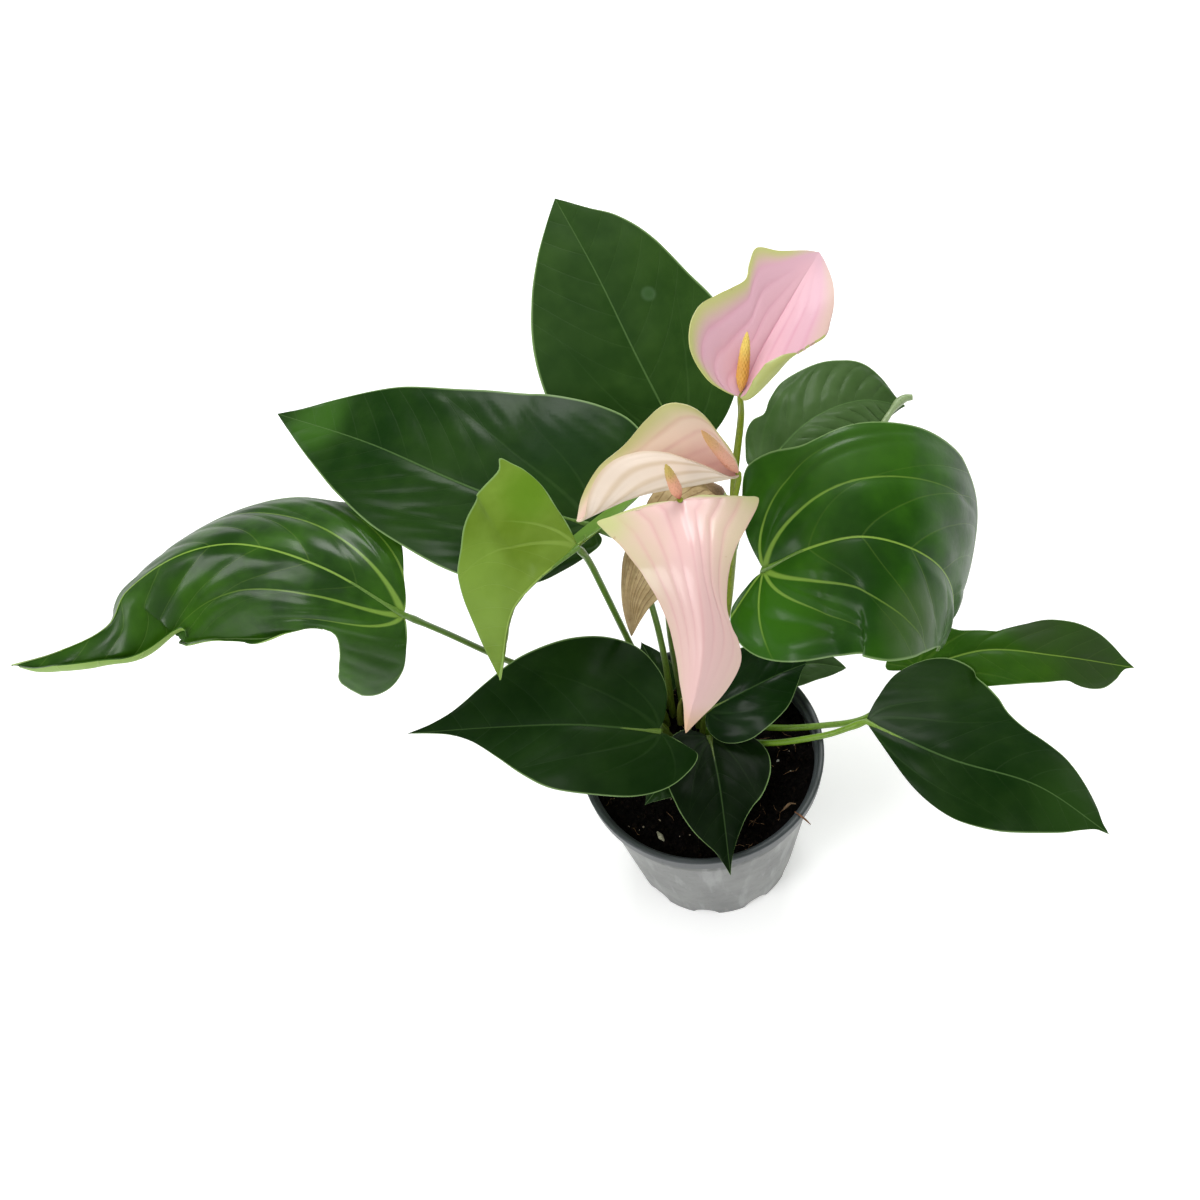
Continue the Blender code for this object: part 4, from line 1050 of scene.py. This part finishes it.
def spathe_inside(name, centre, side, vein, base, tip, strands, margins=(0.5, 0.5), ears=0.0, reach=0.75,
                  shine=0.3, blush=0.0):
    """The inside of a spathe: blushed centre, paler sides, deeper veins, green margins and ears."""
    paint = Paint(name, coat_weight=shine, coat_roughness=0.2, specular_ior_level=0.15)
    along, across, strand = paint.grow()
    off = abs(strand)
    near = nearness(strand * strands)
    cloud = paint.noise(60, 4)
    paler = (off + cloud * 0.5 - 0.25).smooth(0.12, reach) * (1 - along.smooth(0.2, 0.55) * blush)
    color = paint.mix(paler, centre, side)
    fading = along.smooth(0.9, 0.4)
    color = paint.mix(near.smooth(0.5, 1.0) * fading * (cloud * 0.6), color, vein)
    left = strand.smooth(-0.72, -1.0) * margins[0]
    right = strand.smooth(0.72, 1.0) * margins[1]
    color = paint.mix(left + right, color, base)
    ear = (along + cloud * 0.12).smooth(0.16, 0.02) * off.smooth(0.45, 0.95) * ears
    color = paint.mix(ear, color, base)
    color = paint.mix(along.smooth(0.86, 0.99) * 0.7, color, tip)
    freckles = paint.noise(340, 2).smooth(0.72, 0.78) * off.smooth(0.4, 0.9)
    color = paint.mix(freckles * 0.35, color, FRECKLE)
    paint.bump(near ** 4 * fading * -0.5 + cloud * 2 + paint.noise(600, 3) * 0.4, 0.18 * MM, 0.5)
    return paint.finish(color, 0.34 + cloud * 0.12)


def spathe_outside(name, ground, rib, strands):
    """The outside of a spathe: cream to green, with raised ribs."""
    paint = Paint(name, coat_weight=0.1)
    along, across, strand = paint.grow()
    near = nearness(strand * strands)
    cloud = paint.noise(70, 4)
    color = paint.mix(near.smooth(0.4, 0.95) * 0.7 + cloud * 0.3, ground, rib)
    paint.bump(near * 0.8 + cloud * 0.3, 0.3 * MM, 0.7)
    return paint.finish(color, 0.45)


def dried_paper(name, strands, ground, pale, vein):
    """A withered spathe: papery tan with brown veins and blotches."""
    paint = Paint(name)
    along, across, strand = paint.grow()
    near = nearness(strand * strands)
    blotch = paint.noise(90, 5, roughness=0.7)
    color = paint.mix(blotch.smooth(0.35, 0.7), ground, pale)
    color = paint.mix(near.smooth(0.7, 0.98) * 0.7, color, vein)
    color = paint.mix(paint.noise(260, 3).smooth(0.62, 0.75) * 0.6, color, vein)
    paint.bump(near * 0.7 + blotch * 1.5 + paint.noise(420, 4), 0.5 * MM, 0.8)
    return paint.finish(color, 0.85)


GREEN_EDGE = (178, 186, 108)
BLOOM_LOOKS = {
    "bloom_right": dict(
        strands=4, inside=dict(centre=(214, 170, 180), side=(206, 164, 176),
                               vein=(196, 134, 154), base=GREEN_EDGE, tip=(206, 170, 180),
                               margins=(0.9, 0.3), ears=0.7, shine=0.1),
        outside=dict(ground=(158, 170, 90), rib=(204, 178, 142))),
    "bloom_left": dict(
        strands=5, inside=dict(centre=(222, 184, 174), side=(226, 204, 184),
                               vein=(206, 150, 148), base=GREEN_EDGE, tip=(228, 206, 192),
                               margins=(0.25, 0.8), ears=0.6),
        outside=dict(ground=(230, 214, 198), rib=(208, 186, 158))),
    "bloom_front": dict(
        strands=4, inside=dict(centre=(216, 180, 176), side=(198, 180, 154),
                               vein=(200, 142, 148), base=(182, 190, 124),
                               tip=(196, 160, 112), margins=(0.1, 0.15), ears=0.95, reach=1.0,
                               shine=0.5, blush=0.75),
        outside=dict(ground=(220, 204, 180), rib=(190, 170, 138))),
}
print("spathe finishes ready")

# %% [markdown]
# A spadix is packed with florets in crossing spirals. Each floret is far finer than a solid needs, so the
# solid only has a coarse relief. Here a fine sphere is drawn out along the spike and pushed in and out by
# two crossing spiral waves, which leaves a lattice of small knobs.

# %% Spadix
SPADIX_RADIUS = 2.4 * MM
FLORETS_ROUND = 11
FLORET_PITCH = 1.15 * MM
FLORET_HEIGHT = 0.16 * MM
SIDES_PER_FLORET = 6
ROWS_PER_MM = 5
STALK_ABOVE = 1.0 * MM
SPIKE_GRAIN = (150, 105, 60)


def spike_paint(name, foot, body, tip, length, start, axis):
    """Knobbed spike: a blushed foot, then its body colour, and a different tip."""
    paint = Paint(name)
    offset = paint.node("ShaderNodeVectorMath", {"operation": "SUBTRACT"}, {0: paint.place(), 1: start})
    height = paint.node("ShaderNodeVectorMath", {"operation": "DOT_PRODUCT"}, {0: offset, 1: axis}, "Value")
    share = height / length
    grain = paint.noise(900, 3)
    color = paint.mix((share + grain * 0.2).smooth(0.05, 0.35), foot, body)
    color = paint.mix((share + grain * 0.2).smooth(0.55, 0.95), color, tip)
    color = paint.mix(grain.smooth(0.55, 0.75) * 0.35, color, SPIKE_GRAIN)
    paint.bump(grain, 0.15 * MM, 0.5)
    return paint.finish(color, 0.55)


def grow_spadix(name, start, end, colors):
    """A tapering spike covered in a lattice of knobs."""
    axis = end - start
    length = axis.length
    turn = axis.to_track_quat("Z", "Y")
    rows = max(30, round(length / MM * ROWS_PER_MM))
    sides = FLORETS_ROUND * SIDES_PER_FLORET
    bm = bmesh.new()
    bmesh.ops.create_uvsphere(bm, u_segments=sides, v_segments=rows, radius=1)
    for vert in bm.verts:
        height = math.acos(max(-1, min(1, -vert.co.z))) / math.pi
        angle = math.atan2(vert.co.y, vert.co.x)
        girth = math.sin(math.pi * min(1, height * 3) / 2) * (1 - height ** 6 * 0.9)
        body = SPADIX_RADIUS * max(0, girth) * (1 - 0.3 * height)
        if height < 1 / rows / 2 or height > 1 - 1 / rows / 2:
            body = 0
        spiral = height * length / FLORET_PITCH * math.pi
        waves = math.cos(angle * FLORETS_ROUND + spiral) + math.cos(angle * FLORETS_ROUND - spiral)
        knob = FLORET_HEIGHT * waves / 2 * min(1, body / (0.4 * SPADIX_RADIUS))
        reach = max(0, body + knob) if body else 0
        vert.co = start + turn @ Vector((math.cos(angle) * reach, math.sin(angle) * reach, height * length))
    paint = spike_paint(name, *colors, length, start, axis.normalized())
    piece = link(name, mesh_of(bm, name), paint)
    shade(piece)
    return piece


SPIKE_COLORS = {
    "bloom_right": ((200, 150, 90), (212, 158, 66), (226, 198, 96)),
    "bloom_left": ((214, 150, 130), (222, 164, 138), (206, 162, 106)),
    "bloom_front": ((196, 96, 90), (216, 158, 128), (186, 164, 86)),
    "bloom_dried": ((110, 80, 50), (126, 96, 66), (150, 122, 88)),
}
print("spadix ready")

# %% [markdown]
# Now the blooms come together: stem, spathe and spadix, each in the place of its own solid. The oldest
# bloom has dried to brown paper and keeps the same build with a finish of its own. The bloom at the right
# has a margin that curls over.

# %% Blooms
SPATHE = 0.7 * MM
SPATHE_GRID = (110, 22)
VEIN_DEPTH = 0.25
DRIED_STRANDS = 6
DRIED = dict(strands=DRIED_STRANDS, depth=0.5, crumple=2.2, seed=3.3)
DRIED_INSIDE = ((158, 134, 90), (190, 168, 124), (118, 90, 56))
DRIED_OUTSIDE = ((160, 138, 104), (198, 178, 146), (120, 92, 62))
CURLED = {
    "bloom_right": (1, (0.5, 0.93), ((-0.06, 0.5), (0.05, 5), (0.14, 6), (0.24, 3), (0.3, 0.4)), 40, 110),
}


def grow_bloom(name, values):
    """One bloom: stem, spathe and spadix."""
    values = dict(values)
    root = root_place(*values.pop("root"))
    stem = values.pop("stem")
    tip = Vector(values.pop("spadix")) * MM
    spec = blade_spec(**values)
    base = spec["midrib"](0)
    axis = (tip - base).normalized()
    if name in BLOOM_LOOKS:
        look = BLOOM_LOOKS[name]
        strands = look["strands"]
        top = spathe_inside(name + "_inside", strands=strands, **look["inside"])
        under = spathe_outside(name + "_outside", strands=strands, **look["outside"])
        relief = spathe_relief(strands, VEIN_DEPTH)
        slots = ("spathe_pink", "spadix_yellow")
    else:
        top = dried_paper(name + "_inside", DRIED_STRANDS, *DRIED_INSIDE)
        under = dried_paper(name + "_outside", DRIED_STRANDS, *DRIED_OUTSIDE)
        relief = spathe_relief(**DRIED)
        slots = ("dried_bloom", "dried_bloom")
    spathe = grow_blade(name + "_hood", spec, *SPATHE_GRID, relief, SPATHE, top, under)
    hood = [spathe]
    if name in CURLED:
        hood.append(roll_edge(name + "_curl", spec, *CURLED[name], SPATHE, top, under))
    route = stem_points(root, stem + [tuple(base / MM), tuple((base + axis * STALK_ABOVE) / MM)])
    stalk = tube(name + "_stalk", route, BLOOM_STEM_RADII, BLOOM_STEM)
    spike = grow_spadix(name + "_spike", base + axis * STALK_ABOVE, tip, SPIKE_COLORS[name])
    for pieces, node, slot in ((hood, "_spathe", slots[0]), ([stalk], "_stem", "flower_stem"),
                               ([spike], "_spadix", slots[1])):
        for piece in pieces:
            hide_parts(name + node)
    return spathe


for bloom_name, bloom_values in BLOOMS.items():
    grown = grow_bloom(bloom_name, bloom_values)
    print(bloom_name, "triangles:", len(grown.data.polygons) * 2)

# %% [markdown]
# Two young sheaths stand in the crown, thin pointed tubes that will open into leaves. They are made the
# way a stem is, with radii that end in a point.

# %% Sheaths
SHEATHS = {
    "sheath_middle": dict(root=(0, 0), points=[(-3, 19, 110), (-3, 20, 117)]),
    "sheath_back": dict(root=(1, 120), points=[(-5, 23, 112), (-3.5, 22.5, 119)]),
}
SHEATH_RADII = (1.8, 1.8, 1.7, 1.3, 0.4)
SHEATH = stem_paint("young_sheath", (150, 150, 70), (170, 180, 90))

for sheath_name, sheath_values in SHEATHS.items():
    sheath_route = stem_points(root_place(*sheath_values["root"]), sheath_values["points"])
    sheath = tube(sheath_name + "_bud", sheath_route, SHEATH_RADII, SHEATH)
    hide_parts(sheath_name)
print("sheaths:", len(SHEATHS))

# %% [markdown]
# The pot is thin grey plastic: a tapering wall, a collar that steps out under the rim, and shallow
# notches round its lower edge that let water out. A profile spun about Z makes it: rings up the wall, each
# with its height and how far it bulges, and then the rim's section, in from the rim and down from the
# top. The lower edge is then lifted in ten places, which cuts the notches without a Boolean.

# %% Pot
RIM_RADIUS = 60 * MM
BASE_RADIUS = 44 * MM
FOOT_RADIUS = 40 * MM
POT_HEIGHT = 105 * MM
POT_WALL = 1.3 * MM
FLOOR = 2 * MM
COLLAR_HEIGHT = 8 * MM
COLLAR_STEP = 2 * MM
POT_SIDES = 240
POT_MERGE = 0.01 * MM
WALL_RINGS = ((0, -0.4), (0.5, 0), (3, 0), (6, 0), (9, 0), (30, 0), (60, 0), (84, 0), (85, 0.35), (87, 0.35),
              (88, 0), (96, 0))
RIM_SECTION = ((0.9, 8), (0.6, 7.7), (0.3, 1.6), (0, 1.2), (0, 0.4), (0.4, 0), (2.2, 0), (2.6, 0.4), (2.9, 3),
               (4.2, 3.6), (4.6, 4.2))
DRAIN_NOTCHES = 10
DRAIN_HALF_ANGLE = math.radians(8)
DRAIN_HEIGHT = 4.5 * MM
DRAIN_TOP = 9.5 * MM
DRAIN_INSIDE = 39 * MM
WALL_GREYS = ((92, 94, 92), (122, 124, 121))
# Pale grey of the painted highlight streaks on the wall.
SHEEN_STREAK_GREY = (174, 175, 176)
COLLAR_GREYS = ((50, 55, 57), (72, 78, 80))
# Darker grey for the lowest few mm of the wall.
LOW_EDGE_GREY = (92, 92, 94)


def wall_radius(z):
    """Outer radius of the tapering pot wall at height z."""
    return BASE_RADIUS + (RIM_RADIUS - COLLAR_STEP - BASE_RADIUS) * z / POT_HEIGHT


def pot_profile():
    """The pot's section from the middle of its underside round to the middle of its floor."""
    low = POT_HEIGHT - COLLAR_HEIGHT
    points = [(0, 0), (FOOT_RADIUS, 0)]
    points += [(wall_radius(z * MM) + bulge * MM, z * MM) for z, bulge in WALL_RINGS]
    points.append((wall_radius(low) + 0.3 * MM, low - 0.1 * MM))
    points += [(RIM_RADIUS - inward * MM, POT_HEIGHT - down * MM) for inward, down in RIM_SECTION]
    points += [(wall_radius(z) - POT_WALL, z) for z in (low - 2 * MM, 60 * MM, 20 * MM, FLOOR)]
    points.append((0, FLOOR))
    return [Vector((radius, 0, z)) for radius, z in points]


def pot_paint():
    """Grey satin plastic, clouded, with pale streaks of painted highlight and a darker blue-grey collar."""
    paint = Paint("pot_plastic", specular_ior_level=0.45)
    z = paint.split(paint.place())[2]
    cloud = paint.noise(30, 5, roughness=0.65)
    tall = paint.node("ShaderNodeMapping", None, {"Vector": paint.place(), "Scale": (1, 1, 0.12)})
    # Painted highlights: pale vertical streaks that stand in for the blurry gleams on the satin wall.
    sheen_streak = paint.noise(160, 3, tall)
    wall = paint.mix(cloud.smooth(0.32, 0.68), *WALL_GREYS)
    wall = paint.mix(sheen_streak.smooth(0.5, 0.7) * 0.3, wall, SHEEN_STREAK_GREY)
    collar = paint.mix(cloud, *COLLAR_GREYS)
    color = paint.mix(z.smooth(0.094, 0.0965), wall, collar)
    # The wall turns darker grey towards the bottom, over its lowest 6 mm.
    low_edge_share = z.smooth(0.006, 0.0) * 0.35
    color = paint.mix(low_edge_share, color, LOW_EDGE_GREY)
    scuffs = paint.noise(700, 3).smooth(0.6, 0.8)
    paint.bump(scuffs + cloud * 0.4, 0.12 * MM, 0.4)
    return paint.finish(color, 0.42 + scuffs * 0.2)


def add_pot():
    """The pot, spun from its profile."""
    bm = bmesh.new()
    verts = [bm.verts.new(point) for point in pot_profile()]
    edges = [bm.edges.new(pair) for pair in zip(verts, verts[1:])]
    bmesh.ops.spin(bm, geom=verts + edges, cent=(0, 0, 0), axis=(0, 0, 1), angle=2 * math.pi,
                   steps=POT_SIDES, use_merge=True)
    bmesh.ops.remove_doubles(bm, verts=bm.verts, dist=POT_MERGE)
    bmesh.ops.recalc_face_normals(bm, faces=bm.faces)
    pitch = 2 * math.pi / DRAIN_NOTCHES
    for vert in bm.verts:
        radius = math.hypot(vert.co.x, vert.co.y)
        if radius > DRAIN_INSIDE and vert.co.z < DRAIN_TOP:
            off = (math.atan2(vert.co.y, vert.co.x) + pitch / 2) % pitch - pitch / 2
            arch = math.sqrt(max(0, 1 - (off / DRAIN_HALF_ANGLE) ** 2))
            vert.co.z += arch * DRAIN_HEIGHT * (1 - vert.co.z / DRAIN_TOP)
    pot = link("nursery_pot", mesh_of(bm, "nursery_pot"), pot_paint())
    shade(pot)
    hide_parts("pot")
    return pot


pot = add_pot()
print("pot triangles:", len(pot.data.polygons) * 2)

# %% [markdown]
# Potting soil is crumbs, bark and fibres. A square grid is pressed into a disc, raised by noise, and
# closed below. Loose crumbs, pale grains and bits of fibre are then scattered over it from a seeded
# random source, so that every run gives the same soil. A pale chip, a root bit, a white grain and a twig
# on the rim lie where the photograph shows them.

# %% Soil
SOIL_GRID = 150
SOIL_RADIUS = wall_radius(SOIL_TOP) - POT_WALL - 0.2 * MM
SOIL_DEPTH = 30 * MM
CRUMB_STRETCH = ((0.6, 1.4), (0.6, 1.2), (0.4, 0.9))
FIBRE_RADIUS = 0.16 * MM
FIBRE_MERGE = 0.001 * MM
SPECK = (150, 130, 105)


def soil_height(x, y):
    """Height of the uneven soil top."""
    waves = math.sin(x * 260 + 1) * math.cos(y * 310) + 0.5 * math.sin(x * 610 - y * 480)
    lumps = noise.noise(Vector((x, y, 0)) * 240) * 1.6 + noise.noise(Vector((x, y, 1)) * 620) * 0.8
    return SOIL_TOP + (waves + lumps) * MM


def soil_paint(name, dark, light):
    """Damp peat: nearly black, brown on its crumbs, with rare pale specks."""
    paint = Paint(name, specular_ior_level=0.1)
    grain = paint.noise(520, 6, roughness=0.7)
    color = paint.mix(grain.smooth(0.4, 0.68), dark, light)
    specks = paint.noise(1500, 2).smooth(0.76, 0.8)
    color = paint.mix(specks * 0.6, color, SPECK)
    paint.bump(grain, 1.2 * MM, 0.9)
    return paint.finish(color, 0.9)


def add_soil():
    """The soil's surface, closed below."""
    bm = bmesh.new()
    bmesh.ops.create_grid(bm, x_segments=SOIL_GRID, y_segments=SOIL_GRID, size=1)
    for vert in bm.verts:
        x, y = vert.co.x, vert.co.y
        round_x = x * math.sqrt(1 - y * y / 2) * SOIL_RADIUS
        round_y = y * math.sqrt(1 - x * x / 2) * SOIL_RADIUS
        vert.co = (round_x, round_y, soil_height(round_x, round_y))
    rim = [edge for edge in bm.edges if edge.is_boundary]
    skirt = bmesh.ops.extrude_edge_only(bm, edges=rim)["geom"]
    low = [item for item in skirt if isinstance(item, bmesh.types.BMVert)]
    shrink = wall_radius(SOIL_TOP - SOIL_DEPTH) / wall_radius(SOIL_TOP)
    for vert in low:
        vert.co = (vert.co.x * shrink, vert.co.y * shrink, SOIL_TOP - SOIL_DEPTH)
    bmesh.ops.edgeloop_fill(bm, edges=[item for item in skirt if isinstance(item, bmesh.types.BMEdge)
                                       and item.is_boundary])
    bmesh.ops.recalc_face_normals(bm, faces=bm.faces)
    peat = link("peat", mesh_of(bm, "peat"), soil_paint("peat", (2, 1, 1), (17, 12, 9)))
    shade(peat)
    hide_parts("soil")
    return peat


def scatter(draw):
    """A random place on the soil."""
    angle = draw.uniform(0, 2 * math.pi)
    radius = math.sqrt(draw.random()) * (SOIL_RADIUS - 2 * MM)
    x, y = math.cos(angle) * radius, math.sin(angle) * radius
    return Vector((x, y, soil_height(x, y)))


def add_crumbs(name, count, sizes, seed, paint):
    """Loose crumbs: small squashed and turned lumps, all in one piece."""
    draw = random.Random(seed)
    bm = bmesh.new()
    for _ in range(count):
        size = draw.uniform(*sizes) * MM
        angle = draw.uniform(0, math.pi)
        turn = Matrix.Rotation(angle, 4, (draw.random(), draw.random(), draw.random() + 0.1))
        stretch = [draw.uniform(*limits) for limits in CRUMB_STRETCH]
        place = Matrix.Translation(scatter(draw) + Vector((0, 0, size * 0.3)))
        matrix = place @ turn @ Matrix.Diagonal((*stretch, 1))
        bmesh.ops.create_icosphere(bm, subdivisions=1, radius=size, matrix=matrix)
    crumbs = link(name, mesh_of(bm, name), paint)
    return crumbs


def add_fibres(name, count, seed, paint):
    """Short bent fibres that lie on the soil."""
    draw = random.Random(seed)
    data = new_tubes(name, FIBRE_RADIUS, 1)
    for _ in range(count):
        place = scatter(draw)
        heading = draw.uniform(0, 2 * math.pi)
        line = data.splines.new("POLY")
        line.points.add(5)
        for point in line.points:
            point.co = (place.x, place.y, soil_height(place.x, place.y) + draw.uniform(0.2, 1.0) * MM, 1)
            point.radius = draw.uniform(0.6, 1.3)
            heading += draw.uniform(-0.5, 0.5)
            place = place + Vector((math.cos(heading), math.sin(heading), 0)) * draw.uniform(0.8, 2.0) * MM
            if math.hypot(place.x, place.y) > SOIL_RADIUS - MM:
                place *= 0.96
    fibres = link(name, mesh_of_tubes(name, data, FIBRE_MERGE), paint)
    return fibres


soil = add_soil()
crumb_paint = soil_paint("crumbs", (4, 3, 2), (30, 21, 15))
dark_crumbs = add_crumbs("soil_crumbs", 900, (0.4, 1.5), 11, crumb_paint)
grain_paint = soil_paint("grains", (150, 135, 110), (205, 196, 178))
pale_grains = add_crumbs("pale_grains", 40, (0.25, 0.7), 12, grain_paint)
BIT_SHADE = 0.7
BITS = {
    "soil_chip": ([(-30, -34, 97), (-29, -37, 97.6), (-27.8, -39.5, 97.2)], (0.4, 1.3, 1.2, 0.3),
                  (190, 188, 160)),
    "root_bit": ([(31, -37.5, 96.5), (33, -36.6, 97.4), (35.5, -35.6, 98), (38, -36, 97.2)],
                 (0.2, 0.6, 0.7, 0.4, 0.2), (150, 122, 92)),
    "white_grain": ([(35.2, -12, 97.4), (35.8, -11.7, 97.8), (36.4, -11.3, 97.4)], (0.2, 0.7, 0.2),
                    (215, 212, 200)),
    "rim_twig": ([(35.4, -43.6, 105.4), (37.6, -46.6, 105.8), (39.4, -49.2, 105.6), (41, -51.4, 104.6)],
                 (0.2, 0.4, 0.5, 0.4, 0.2), (136, 98, 72)),
}
for bit_name, (bit_points, bit_radii, bit_color) in BITS.items():
    bit_paint = soil_paint(bit_name + "_bark", [c * BIT_SHADE for c in bit_color], bit_color)
    tube(bit_name, bit_points, bit_radii, bit_paint)
fibres = add_fibres("soil_fibres", 90, 13, soil_paint("fibre", (70, 52, 38), (140, 112, 80)))
print("soil pieces:", soil.name, dark_crumbs.name, pale_grains.name, fibres.name)
